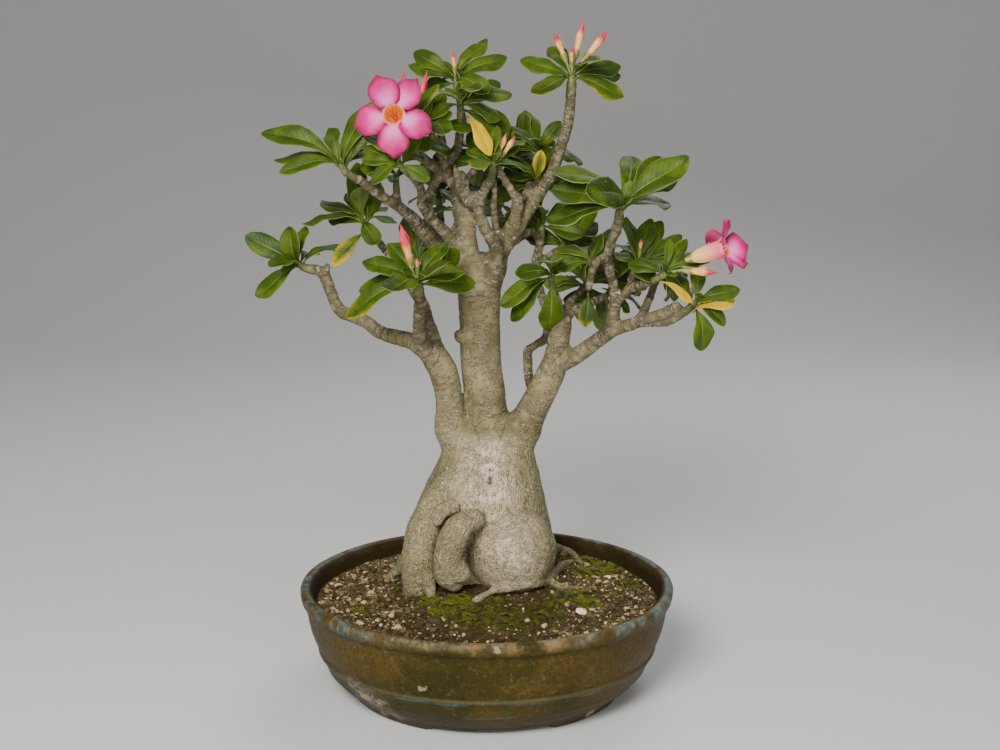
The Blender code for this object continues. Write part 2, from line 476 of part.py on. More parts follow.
def build_soil(parts, cutters):
    """Potting mix that fills the pot, with an uneven mounded top."""
    wall = [(radius - GAP, max(height, FLOOR_TOP + GAP)) for radius, height in INNER_WALL[:-1]]
    (low_radius, low_height), (high_radius, high_height) = INNER_WALL[-2:]
    rise = (SOIL_EDGE - low_height) / (high_height - low_height)
    edge = (low_radius + (high_radius - low_radius) * rise - GAP, SOIL_EDGE)
    profile = [edge] + wall[::-1] + [(0.0, FLOOR_TOP + GAP)]
    rings = 4
    top_radius = edge[0]
    top = [(top_radius * step / rings, SOIL_EDGE) for step in range(rings)]
    bm = bmesh.new()
    verts = [bm.verts.new((radius * MM, 0.0, height * MM)) for radius, height in top + profile]
    for here, after in zip(verts, verts[1:]):
        bm.edges.new((here, after))
    soil = object_from_bmesh("soil", bm, parts)
    screw = soil.modifiers.new("turn", "SCREW")
    screw.steps = TURN_STEPS
    screw.render_steps = TURN_STEPS
    screw.use_merge_vertices = True
    screw.merge_threshold = 0.00001
    bpy.context.view_layer.update()
    soil.data = evaluated_mesh(soil)
    soil.modifiers.clear()
    for vert in soil.data.vertices:
        x, y, z = vert.co / MM
        if z > SOIL_EDGE - 1 and math.hypot(x, y) < top_radius - 1:
            vert.co.z = soil_height(x, y) * MM
    bm = bmesh.new()
    radius = (SCREEN_RADIUS + GAP) * MM
    bmesh.ops.create_cone(bm, cap_ends=True, segments=16, radius1=radius, radius2=radius,
                          depth=2 * (SCREEN_THICKNESS + 3 * GAP) * MM)
    recess = object_from_bmesh("screen_recess", bm, cutters)
    recess.location.z = FLOOR_TOP * MM
    recess.hide_render = True
    recess.display_type = "WIRE"
    cut = soil.modifiers.new("screen_recess", "BOOLEAN")
    cut.operation = "DIFFERENCE"
    cut.object = recess
    return soil


def loft_sections(name, sections, sides, group):
    """A closed skin over elliptical sections (centre, half width, half depth) in metres."""
    bm = bmesh.new()
    rings = []
    for centre, half_width, half_depth in sections:
        ring = []
        for step in range(sides):
            angle = 2 * math.pi * step / sides
            offset = Vector((math.cos(angle) * half_width, math.sin(angle) * half_depth, 0.0))
            ring.append(bm.verts.new(centre + offset))
        rings.append(ring)
    for low, high in zip(rings, rings[1:]):
        for step in range(sides):
            after = (step + 1) % sides
            bm.faces.new((low[step], low[after], high[after], high[step]))
    bm.faces.new(list(reversed(rings[0])))
    bm.faces.new(rings[-1])
    return object_from_bmesh(name, bm, group)


def needed_points(points):
    """Indexes of the points that keep a path within PATH_TOLERANCE mm of the full one."""
    first, last = points[0], points[-1]
    along = (last - first).normalized()
    off = [((point - first) - along * (point - first).dot(along)).length for point in points]
    farthest = max(range(len(points)), key=off.__getitem__)
    if off[farthest] < PATH_TOLERANCE * MM:
        return [0, len(points) - 1]
    before = needed_points(points[:farthest + 1])
    after = needed_points(points[farthest:])
    return before + [farthest + index for index in after[1:]]


def grow_wood(name, group, grow, limb_rows):
    """Caudex, lobes, roots and limbs as one solid, every radius larger by grow mm."""
    sections = []
    for py, left, right, half_depth, depth in reversed(CAUDEX):
        low = sight(left, py, depth)
        high = sight(right, py, depth)
        half_width = (high - low).length / 2 + grow * MM
        sections.append(((low + high) / 2, half_width, (half_depth + grow) * MM))
    sections[0][0].z -= grow * MM
    wood = loft_sections(name, sections, 16, group)
    pieces = collection(name + "_pieces")
    for limb, rows in limb_rows.items():
        points = [sight(px, py, depth) for px, py, depth, _ in rows]
        kept = needed_points(points)
        widths = [rows[index][3] for index in kept]
        tube(limb, [points[index] for index in kept], widths, pieces, 2 if max(widths) > THICK_LIMB else 1)
    for lobe, rows in CAUDEX_LOBES.items():
        points = [sight(px, py, depth) for px, py, depth, _ in rows]
        points[-1] += (points[-1] - points[-2]).normalized() * grow * MM
        tube(lobe, points, [row[3] + 2 * grow for row in rows], pieces, 2)
    for root, rows in SOIL_ROOTS.items():
        points = [sight_at_height(px, py, height) for px, py, height, _ in rows]
        points[-1] += (points[-1] - points[-2]).normalized() * grow * MM
        tube(root, points, [row[3] + 2 * grow for row in rows], pieces, 1)
    bm = bmesh.new()
    bmesh.ops.create_uvsphere(bm, u_segments=14, v_segments=9, radius=MM)
    bulb = object_from_bmesh("right_bulb", bm, pieces)
    bulb.scale = [half + grow for half in RIGHT_BULB[1]]
    bulb.location = sight(*RIGHT_BULB[0])
    bpy.context.view_layer.update()
    return fuse(wood, pieces)


def build_wood(parts):
    """Caudex, trunks, limbs and surface roots, grown as one piece."""
    wood = grow_wood("desert_rose_wood", parts, 0.0, LIMBS)
    finish(wood, material("bark", (0.21, 0.18, 0.12), 0.75))
    return wood


def leaf(name, base, tip, width, outward, group, stations=LEAF_STATIONS, lift=0.16):
    """A folded, arched leaf from base to tip, its upper side facing the direction outward."""
    chord = tip - base
    length = chord.length
    along = chord.normalized()
    up = (outward - along * outward.dot(along))
    if up.length < 0.2:
        up = Vector((0, 0, 1)) - along * along.z
    up.normalize()
    side = along.cross(up)
    bm = bmesh.new()
    bmesh.ops.create_grid(bm, x_segments=2, y_segments=len(stations) - 1, size=1.0)
    rows = sorted({round(vert.co.y, 4) for vert in bm.verts})
    for vert in bm.verts:
        t = stations[rows.index(round(vert.co.y, 4))]
        across = round(vert.co.x)
        half = leaf_half_width(t) * width / 2 * MM
        arch = lift * length * math.sin(math.pi * t ** 0.8)
        fold = 0.38 * half * abs(across)
        droop = -0.05 * length * t ** 4
        vert.co = base + along * (length * t) + up * (arch + fold + droop) + side * (half * across)
    bmesh.ops.remove_doubles(bm, verts=bm.verts, dist=0.00005)
    bmesh.ops.recalc_face_normals(bm, faces=bm.faces)
    blade = object_from_bmesh(name, bm, group)
    skin = blade.modifiers.new("blade", "SOLIDIFY")
    skin.thickness = LEAF_THICKNESS * MM
    skin.offset = 0.0
    skin.use_even_offset = False
    bpy.context.view_layer.update()
    blade.data = evaluated_mesh(blade)
    blade.modifiers.clear()
    return blade


def leaf_half_width(t):
    """Share of the leaf's half width at t along it: pointed ends, widest past the middle."""
    if t <= 0.0 or t >= 1.0:
        return 0.0
    return 0.13 + 0.87 * math.sin(math.pi * t ** 1.45) ** 0.85


def limb_end(name):
    """Place, outward direction and diameter of a limb's free end."""
    last = LIMBS[name][-1]
    before = LIMBS[name][-2]
    place = sight(*last[:3])
    return place, (place - sight(*before[:3])).normalized(), last[3]


def spray_leaves(row):
    """Leaves of a spray as (tip, width mm, stations): those read from the photo, then the far side's."""
    limb, base_row, length, fill, tips = row
    base = sight(*base_row)
    found = []
    for px, py, lean in tips:
        flat = sight(px, py, base_row[2])
        seen = (flat - base).length / MM
        depth = lean * math.sqrt(max(length ** 2 - seen ** 2, (0.25 * length) ** 2))
        tip = sight(px, py, base_row[2] + depth)
        stations = FAR_LEAF_STATIONS if lean > FAR_LEAN else LEAF_STATIONS
        found.append((tip, (tip - base).length / MM * LEAF_WIDTH_RATIO + 2.0, stations))
    draw = random.Random(sum(map(ord, limb)))
    for step in range(fill):
        turn = math.radians(50 + 80 * (step + draw.random()) / max(fill, 1))
        reach = length * draw.uniform(0.8, 0.95) * MM
        tip = base + Vector((math.cos(turn), math.sin(turn), draw.uniform(0.0, 0.45))).normalized() * reach
        found.append((tip, reach / MM * LEAF_WIDTH_RATIO + 2.0, FAR_LEAF_STATIONS))
    return base, found


def build_spray(name, row, parts, mat, obstacles):
    """A rosette of leaves fused to the short green stem tip that carries them."""
    limb = row[0]
    end, heading, thick = limb_end(limb)
    base, leaves = spray_leaves(row)
    start = end + heading * GAP * MM
    collar = end + heading * min(1.6 * MM, (base - end).length * 0.4)
    crown = base + (base - collar).normalized() * 2.0 * MM
    stem = tube(name, [start, collar, crown], [thick * 0.97, thick * 0.93, max(thick * 0.7, 4.0)], parts, 1)
    blades = collection(name + "_blades")
    outward = (base - start).normalized() * 0.75 + Vector((0, 0, 0.45))
    for index, (tip, width, stations) in enumerate(leaves):
        clear_leaf(f"{name}_{index}", base, tip, width, outward, blades, obstacles, stations)
    for bud, (root, bud_tip, girth) in BUDS.items():
        if bud_spray(bud) == name:
            foot = sight(*root)
            along = (sight(*bud_tip) - foot).normalized()
            tube(bud + "_stalk", [base, foot - along * 2.0 * MM, foot], [2.4, 2.2, max(girth * 0.42, 2.2)],
                 blades, 1)
    for bloom, (foot_row, mouth, *_) in BLOOMS.items():
        if bloom_spray(bloom) == name:
            foot = sight(*foot_row)
            back = (foot - sight(*mouth)).normalized()
            tube(bloom + "_stalk", [base, foot + back * 6 * MM, foot + back * GAP * MM], [2.6, 2.6, 4.6],
                 blades, 1)
    fuse(stem, blades)
    finish(stem, mat)
    return stem


def surface_tree(thing, margin=CLEARANCE * MM):
    """Search tree of an object's surface, thickened by the clearance that neighbours keep."""
    bm = bmesh.new()
    bm.from_mesh(thing.data)
    bmesh.ops.triangulate(bm, faces=bm.faces)
    tree = BVHTree.FromBMesh(bm, epsilon=margin)
    bm.free()
    return tree


def clear_leaf(name, base, tip, width, outward, blades, obstacles, stations):
    """Place a leaf, bent aside in small steps where it would cross another piece."""
    reach = tip - base
    for shrink in (1.0, 0.8, 0.62):
        for turn, raise_by in SWINGS:
            across = reach.cross(outward).normalized()
            swing = Matrix.Rotation(math.radians(turn), 3, outward.normalized())
            swing = Matrix.Rotation(math.radians(raise_by), 3, across) @ swing
            bent = base + (swing @ reach) * shrink
            foot = base + (bent - base).normalized() * 0.6 * MM
            blade = leaf(name, foot, bent, width * shrink, outward, blades, stations)
            tree = surface_tree(blade, 0.0)
            if not any(tree.overlap(other) for other in obstacles):
                return blade
            bpy.data.objects.remove(blade, do_unlink=True)
    return None


def bud_spray(bud):
    """Name of the spray that carries a bud."""
    return "leaves_" + bud.removeprefix("bud_").removesuffix("_small").removesuffix("_a").removesuffix(
        "_b").removesuffix("_c").removesuffix("_d")


def bloom_spray(bloom):
    """Name of the spray that carries a bloom."""
    return {"bloom_left": "leaves_bloom_arm", "bloom_right": "leaves_right_bloom"}[bloom]


def build_bud(name, row, parts, mat):
    """A closed spindle-shaped bud with a pointed tip."""
    root, tip, girth = row
    low = sight(*root)
    high = sight(*tip)
    along = (high - low).normalized()
    start = low + along * GAP * MM
    shape = ((0.0, 0.42), (0.32, 0.62), (0.62, 1.0), (1.0, 0.12))
    points = [start.lerp(high, t) for t, _ in shape]
    bud = tube(name, points, [girth * share for _, share in shape], parts, 1)
    finish(bud, mat)
    return bud


def build_bloom(name, row, parts, mat):
    """Funnel tube with an open throat and five petals fused round its mouth."""
    foot_row, mouth_row, width, tips = row
    foot = sight(*foot_row)
    mouth = sight(*mouth_row)
    axis = (mouth - foot).normalized()
    length = (mouth - foot).length / MM
    throat, lip, middle, neck, base = BLOOM_RADII
    profile = [(0.0, length - BLOOM_THROAT_DEPTH), (throat, length), (lip, length), (middle, length * 0.6),
               (neck, length * 0.25), (base, 0.0), (0.0, 0.0)]
    bm = bmesh.new()
    verts = [bm.verts.new((radius * MM, 0.0, height * MM)) for radius, height in profile]
    for here, after in zip(verts, verts[1:]):
        bm.edges.new((here, after))
    tube_part = object_from_bmesh(name, bm, parts)
    screw = tube_part.modifiers.new("turn", "SCREW")
    screw.steps = 8
    screw.render_steps = 8
    screw.use_merge_vertices = True
    screw.merge_threshold = 0.00001
    tube_part.matrix_world = Matrix.Translation(foot) @ axis.to_track_quat("Z", "Y").to_matrix().to_4x4()
    bpy.context.view_layer.update()
    tube_part.data = evaluated_mesh(tube_part)
    tube_part.modifiers.clear()
    tube_part.matrix_world = Matrix.Identity(4)
    petals = collection(name + "_petals")
    for index, tip_row in enumerate(tips):
        tip = sight(*tip_row)
        spread = tip - mouth
        spread -= axis * spread.dot(axis)
        root = mouth + spread.normalized() * middle * MM - axis * 2.2 * MM
        leaf(f"{name}_{index}", root, tip, width, axis, petals, PETAL_STATIONS, 0.06)
    fuse(tube_part, petals)
    finish(tube_part, mat)
    return tube_part


def build_turned_leaf(name, row, parts, mat, bearer):
    """A single leaf that has turned colour, its foot just off the nearest bark."""
    beside, tip, width = row
    bark, normal, _, _ = bearer.find_nearest(sight(*beside))
    foot = bark + normal * (LEAF_THICKNESS / 2 + GAP) * MM
    blade = leaf(name, foot, sight(*tip), width, Vector((0.2, -0.6, 0.8)), parts)
    finish(blade, mat)
    return blade


def cut_root_holes(soil, cutters):
    """Open the soil where the caudex and the roots stand in it, leaving a thin gap."""
    mould = grow_wood("root_mould", cutters, ROOT_GAP, {})
    mould.hide_render = True
    mould.display_type = "WIRE"
    cut = soil.modifiers.new("root_holes", "BOOLEAN")
    cut.operation = "DIFFERENCE"
    cut.object = mould


def main():
    clear_scene()
    parts = collection("desert_rose_bonsai")
    cutters = collection("cutters")
    pot = build_pot(parts, cutters)
    build_drain_screen(parts)
    soil = build_soil(parts, cutters)
    wood = build_wood(parts)
    cut_root_holes(soil, cutters)
    finish(soil, material("potting_mix", (0.045, 0.030, 0.018), 0.9))
    obstacles = [surface_tree(wood), surface_tree(pot)]
    pink_cream = material("bud_pink", (0.80, 0.35, 0.30), 0.45)
    for name, row in BUDS.items():
        obstacles.append(surface_tree(build_bud(name, row, parts, pink_cream)))
    pink = material("petal_pink", (0.85, 0.25, 0.45), 0.5)
    for name, row in BLOOMS.items():
        obstacles.append(surface_tree(build_bloom(name, row, parts, pink)))
    yellow = material("leaf_yellow", (0.75, 0.55, 0.10), 0.45)
    for name, row in TURNED_LEAVES.items():
        obstacles.append(surface_tree(build_turned_leaf(name, row, parts, yellow, obstacles[0])))
    green = material("leaf_green", (0.10, 0.20, 0.035), 0.4)
    for name, row in SPRAYS.items():
        obstacles.append(surface_tree(build_spray(name, row, parts, green, obstacles)))


main()
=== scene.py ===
"""Looks of a desert rose bonsai in a round glazed pot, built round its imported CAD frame.

Metres, +Z up, the pot's axis is Z, the ground is Z = 0 and -Y is the front. Limbs, leaves and
flowers are laid out as the CAD's are, as rows of (x, y) pixels of a 1000 x 750 photograph with a
depth along Y in millimetres, which the sight line through that pixel turns into a place.
"""
import math
import random

import bmesh
import bpy
from mathutils import Matrix, Vector, noise
from mathutils.bvhtree import BVHTree
from mathutils.kdtree import KDTree


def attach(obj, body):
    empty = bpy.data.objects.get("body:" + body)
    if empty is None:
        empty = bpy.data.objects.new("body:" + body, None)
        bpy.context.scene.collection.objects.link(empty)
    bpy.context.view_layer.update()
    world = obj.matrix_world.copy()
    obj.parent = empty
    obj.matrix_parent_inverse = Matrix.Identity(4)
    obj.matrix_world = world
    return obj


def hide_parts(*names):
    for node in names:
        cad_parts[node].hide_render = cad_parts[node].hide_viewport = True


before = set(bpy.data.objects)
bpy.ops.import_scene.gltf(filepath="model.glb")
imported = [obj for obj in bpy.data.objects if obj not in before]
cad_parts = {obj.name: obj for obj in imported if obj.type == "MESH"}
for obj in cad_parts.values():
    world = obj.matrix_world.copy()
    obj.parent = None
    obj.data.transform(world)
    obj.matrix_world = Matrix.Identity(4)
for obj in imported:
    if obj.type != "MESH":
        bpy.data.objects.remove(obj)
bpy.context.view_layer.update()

MM = 0.001

# Sizes shared with the CAD model, millimetres
POT_HEIGHT = 80.0
RIM_RADIUS = 140.0
RIM_WIDTH = 8.0
LIP_HEIGHT = 10.0
FLOOR_TOP = 12.0
FOOT_RADIUS = 102.0
FOOT_WIDTH = 20.0
FOOT_HEIGHT = 4.0
FOOT_GAP_WIDTH = 92.0
FOOT_GAP_ANGLE = -88.0
DRAIN_RADIUS = 9.0
SOIL_EDGE = 68.0
SOIL_MOUND = 83.0
MOUND_CENTRE = (2.0, 22.0)
MOUND_REACH = 85.0
SOIL_WAVE = 1.1
INNER_WALL = [(FOOT_RADIUS - 2, FLOOR_TOP), (FOOT_RADIUS + 10, 20), (RIM_RADIUS - 22.5, 34),
              (RIM_RADIUS - 14, 58), (RIM_RADIUS - RIM_WIDTH, POT_HEIGHT - 2)]

# The viewpoint that the pixel rows were read from, which is the camera's
FOCAL_PX = 1667.0
FOCAL_LENGTH = 60.0
SENSOR_WIDTH = 36.0
CENTRE_PX = (500.0, 375.0)
EYE = Vector((9.8, -1201.5, 471.1))
PITCH = math.radians(11.0)

# Bark skin: voxel size, and how far apart a limb's rings and the samples of its path lie, metres
BARK_VOXEL = 0.001475
RING_STEP = 0.0016
# The rings that round off a limb's end: share of its width, and how many widths beyond it
ROUND_END = ((0.8, 0.3), (0.45, 0.46))

# A leaf's grid: shares of the length, and of the half width
LEAF_LENGTH_SHARES = (0.0, 0.05, 0.11, 0.18, 0.27, 0.37, 0.48, 0.59, 0.70, 0.79, 0.87, 0.935, 0.975, 1.0)
LEAF_WIDTH_SHARES = (-1.0, -0.84, -0.5, -0.12, 0.0, 0.12, 0.5, 0.84, 1.0)
LEAF_THICKNESS = 0.5
LEAF_WIDTH_RATIO = 0.355
# Rosettes further back than this, in mm, hold their leaves level, and the others face the light in front
BACK_DEPTH = 50.0
# No added leaf reaches further out than this to either side, metres
SIDE_REACH = 0.170

# Woody limbs: (px, py, depth mm, diameter mm), base first
LIMBS = {
    "mid_trunk": [(487, 436, 20, 38), (485, 396, 20, 31), (481, 363, 22, 30), (480, 330, 22, 30),
                  (479, 297, 20, 31), (480, 274, 18, 34)],
    "mid_burl": [(472, 338, 16, 18), (461, 336, 12, 11)],
    "left_trunk": [(468, 450, 16, 40), (453, 430, 12, 27), (450, 408, 10, 21), (448, 390, 8, 20),
                   (443, 371, 6, 21), (435, 357, 4, 20)],
    "left_fork": [(438, 363, 6, 18), (424, 349, 2, 14), (411, 341, 4, 12.5), (396, 337, 8, 11),
                  (380, 332, 14, 10), (366, 322, 20, 10), (350, 315.5, 26, 9.5), (341, 311, 30, 9.5),
                  (333, 298, 34, 9), (326, 279, 38, 8.5), (320, 271, 40, 8), (307, 268.5, 43, 7)],
    "left_stub": [(324, 277, 39, 8), (327.5, 266, 38, 5)],
    "front_left_stem": [(430, 356, 2, 13), (420, 340, -8, 10), (419, 320, -22, 9), (420, 303, -33, 8.5),
                        (419, 294, -40, 8)],
    "left_back": [(438, 362, 6, 18), (433, 342, 14, 13), (427, 322, 22, 11), (420, 300, 30, 9.5),
                  (404, 276, 38, 7.5), (390, 256, 44, 6.5), (377, 240, 48, 6), (368, 229, 50, 5.5)],
    "left_back_twig": [(420, 300, 30, 8), (419, 282, 38, 6), (417, 266, 44, 5)],
    "right_trunk": [(506, 450, 18, 44), (521, 430, 15, 30), (531, 412, 13, 23), (540, 395, 10, 22),
                    (549, 377, 8, 21), (556, 358, 6, 18), (559, 340, 5, 16), (562, 321, 3, 14)],
    "right_bent": [(537, 400, 18, 10), (530, 384, 26, 7), (528, 366, 30, 7), (528, 351, 31, 7),
                   (537, 344, 32, 6), (547, 335, 35, 6.5), (545, 306, 38, 6.5), (538, 285, 40, 6.5),
                   (536, 264, 42, 6.5), (540, 245, 42, 6.5), (541.5, 233, 40, 6)],
    "right_bent_twig": [(536, 262, 42, 6), (544, 258, 45, 5), (554, 253, 48, 5), (561, 248, 50, 5)],
    "right_twig_front": [(562, 322, 2, 9), (558, 303, -5, 6), (554.5, 291, -10, 5.5), (552, 283, -13, 5.5)],
    "right_twig_back": [(563, 322, 5, 9), (567, 306, 12, 6), (575, 296, 20, 5.5), (584, 287, 30, 5)],
    "right_twig_side": [(563, 323, 4, 9), (574, 310, 8, 6.5), (592, 302, 18, 6), (604, 297, 28, 5.5)],
    "right_arm": [(553, 367, 6, 15), (567, 360, 2, 13.5), (582, 352, -5, 12), (600, 338.5, -14, 10.5),
                  (614, 330, -20, 10), (627, 325.5, -24, 9), (641, 321, -28, 8.5), (659, 315, -31, 8),
                  (677, 306.5, -33, 7)],
    "right_arm_low": [(640, 322, -28, 7), (657, 322.5, -29, 6.5), (669, 320.5, -30, 7),
                      (682, 314, -33, 6), (691, 307, -36, 6)],
    "right_upright": [(606, 334, -17, 11), (612, 324, -18, 10), (614, 310, -18, 9.5), (616.5, 297, -18, 9)],
    "right_tall": [(616, 300, -18, 8.5), (613, 285, -21, 7), (610, 270, -26, 7), (607.5, 257, -31, 7),
                   (611, 243, -36, 7), (616, 230, -41, 7), (619, 219, -45, 7)],
    "right_hanging": [(608, 258, -31, 7), (600, 259, -35, 6.5), (594, 266, -39, 6), (591, 276, -42, 5.5),
                      (588.5, 288, -45, 5)],
    "right_short": [(601, 259, -35, 6), (596, 261, -30, 5), (591.5, 262.5, -24, 5)],
    "right_bloom_arm": [(616, 299, -18, 8.5), (624, 295, -22, 7), (632, 288.5, -27, 7),
                        (642, 285, -33, 6.5), (652, 281, -40, 6.5), (661, 276.5, -47, 6)],
    "right_middle_twig": [(631, 290, -26, 6.5), (632, 279, -17, 6), (636, 268, -10, 5.5)],
    "right_back_twig": [(641, 319, -27, 7), (647, 304, -14, 6), (652, 292, -4, 5.5), (655, 284, 4, 5)],
    "crown_left": [(473, 278, 14, 22), (464, 261, 10, 13), (458.5, 250, 8, 11), (451, 239, 6, 9.5),
                   (440, 227, 4, 8.5), (433, 221, 2, 8), (428, 214, 0, 8)],
    "crown_left_bloom": [(429, 216, 0, 8), (422, 205, -6, 7), (421.5, 195, -14, 6.5), (418.5, 184, -24, 6),
                         (410, 175, -32, 5.5), (404, 169.5, -38, 5)],
    "crown_left_rise": [(429, 215, 0, 8), (427.5, 200, 4, 7), (432, 189, 8, 7), (437, 179, 11, 7.5),
                        (444, 174, 13, 9)],
    "crown_left_twig": [(452, 238, 8, 7), (457, 222, 20, 5), (456, 213, 27, 5)],
    "olive_limb": [(474, 278, 22, 22), (456, 263, 30, 15), (441, 251, 33, 13), (430, 239, 30, 12),
                   (420, 227, 25, 10.5), (410, 216, 18, 9), (396.5, 205, 8, 8), (384, 198, 2, 7),
                   (373.5, 190.5, -3, 6.5), (362, 182, -7, 6.5), (353, 177, -9, 6), (346, 171.5, -11, 6)],
    "olive_twig": [(397, 205, 8, 7), (396.5, 191, 6, 5.5), (396, 180, 4, 5)],
    "crown_middle": [(477, 276, 14, 26), (471, 254, 9, 13), (468, 238, 8, 13), (464.5, 220, 9, 12.5),
                     (460, 206, 12, 11), (455, 194, 14, 10)],
    "crown_right": [(489, 278, 14, 22), (497, 260, 10, 11), (495, 246, 8, 10), (489, 235, 6, 9),
                    (484, 226, 5, 8.5), (480, 215, 4, 8.5), (477, 206, 3, 8.5), (467, 199, 3, 8.5),
                    (457, 187, 8, 8.5), (448, 176, 13, 9.5), (446.5, 166, 14, 9), (447, 159, 13, 8.5)],
    "crown_top_left": [(447, 163, 13, 8), (441.5, 154, 8, 6.5), (436, 144, 2, 6), (432, 135, -3, 5.5)],
    "crown_top_stub": [(446.5, 160, 13, 7), (444, 147, 12, 6), (440.5, 135, 9, 6)],
    "crown_top_right": [(447.5, 162, 14, 8), (454.5, 155, 13, 7), (458.5, 144, 11, 6.5),
                        (460, 131, 7, 6), (461, 119, 3, 5.5), (460.5, 111, 1, 5.5)],
    "crown_top_back": [(459, 138, 10, 6), (463, 124, 17, 5), (460, 104, 20, 5), (456.5, 87, 20, 5)],
    "bloom_arm_left": [(446, 177, 15, 9.5), (437.5, 169.5, 9, 8), (428, 161.5, 1, 7), (418, 154, -7, 6.5),
                       (410, 146, -13, 6)],
    "crown_knob": [(477, 206, 2, 8), (473.5, 195, 0, 6)],
    "dead_spike": [(460, 192, 3, 6.5), (457, 178, 0, 5), (454.5, 165, -3, 2.5)],
    "cut_stub": [(468, 200, 4, 7), (464.5, 185, 3, 6), (462, 173.5, 2, 5.5)],
    "crown_inner_twig": [(464.5, 186, 3, 6), (468, 178, 8, 5.5), (473.5, 171, 13, 5), (478, 166, 17, 5)],
    "crown_centre_arm": [(479, 206, 3, 8), (484.5, 190, 0, 7), (490, 181, -3, 7), (492.5, 171, -5, 6)],
    "crown_upright": [(498, 244, 14, 8), (495, 222, 15, 5.5), (494, 203, 11, 5), (494, 188, 5, 5),
                      (492.5, 177, 0, 5)],
    "main_right": [(492, 270, 16, 22), (501, 250, 16, 14), (509, 237, 17, 14.5), (516, 226, 18, 14.5),
                   (523, 215, 18, 12.5), (533.5, 202, 18, 10.5), (542.5, 188, 18, 9.5),
                   (551, 175, 18, 9), (557.5, 157, 17, 8.5), (563, 140, 16, 8), (568, 124, 15, 7.5),
                   (570.3, 100, 14, 7.5), (571.5, 85, 13, 7.5)],
    "main_right_knob": [(513, 229, 14, 10), (516.5, 211, 9, 9), (518, 198, 6, 8)],
    "main_right_arm": [(518, 202, 7, 7), (509.5, 187, 5, 6), (501, 174, 6, 5.5), (498.5, 168, 8, 5)],
    "main_right_twig": [(520, 200, 8, 6), (525, 196, 13, 5), (531, 191, 22, 5), (536.5, 184.5, 31, 5)],
    "main_right_back": [(525, 196, 14, 5), (528, 186, 30, 5), (532, 171, 42, 5), (538, 157, 47, 5)],
    "main_right_low": [(514, 240, 18, 9), (522, 235.5, 24, 7), (531, 231, 31, 6.5), (539.5, 239, 41, 5.5)],
    "back_high": [(523, 215, 20, 8), (518, 201, 42, 5.5), (514, 187, 56, 5)],
    "back_middle": [(505, 240, 22, 9), (503, 224, 52, 6), (498, 209, 74, 5)],
    "back_left": [(441, 250, 34, 9), (441, 226, 58, 6), (439, 202, 70, 5)],
}

# Old roots that run over the soil: (px, py, height mm, diameter mm)
SOIL_ROOTS = {
    "root_front": [(573, 561, 78, 4.5), (562, 566, 80.5, 6), (549, 579, 84, 6.5), (536, 583, 86.5, 7),
                   (520, 585.5, 87, 7), (506, 588.5, 85, 6.5), (494, 590.5, 83, 6), (484, 596, 81, 5.5),
                   (474, 601, 78, 4.5)],
    "root_front_fork": [(549, 580, 84, 6), (560, 587, 80.5, 5.5), (573, 588.5, 77, 4.5)],
    "root_right": [(532, 552, 90, 12), (553, 548, 86, 9), (562, 549, 82, 6), (572, 553, 80, 5),
                   (582, 564, 77, 4)],
    "root_left": [(407, 560, 90, 14), (396, 572, 80, 9), (388, 580, 76, 6)],
    "root_back": [(487, 532, 96, 16), (470, 546, 81, 8), (460, 549, 77, 5)],
    "toe_left": [(419, 574, 92, 13), (420, 588, 82, 10)],
    "toe_front": [(428, 576, 92, 12), (431, 594, 80, 8)],
}

# Caudex sections: (py, left px, right px, half depth mm, depth mm)
CAUDEX = [(424, 464, 517, 17, 18), (436, 450, 530, 25, 18), (448, 443, 534, 30, 19),
          (462, 437, 537, 35, 20), (476, 430, 540, 40, 22), (491, 423, 543, 45, 23),
          (507, 416, 547, 48, 28), (524, 412, 551, 49, 31), (541, 411, 553, 50, 34),
          (558, 411, 553, 50, 34), (577, 413, 551, 47, 33), (600, 420, 543, 41, 30)]
CAUDEX_LOBES = {
    "left_leg": [(452, 478, 8, 22), (437, 504, -5, 25), (426, 525, -13, 25.5), (420, 547, -17, 26),
                 (419, 568, -18, 28), (419, 592, -14, 24)],
    "finger": [(480, 520, -22, 12), (470, 520, -31, 17), (459, 528, -38, 20), (451.5, 544, -41, 21.5),
               (448.5, 560, -41, 21.5), (449, 573, -36, 21.5), (452.5, 580, -33, 18)],
    "finger_knob": [(456, 567, -40, 17), (462, 574, -40, 13.5)],
    "fold": [(455, 506, -18, 13), (442, 512, -26, 12), (438, 521, -28, 9)],
}
RIGHT_BULB = ((511.5, 550, -8), (33.5, 32, 34))

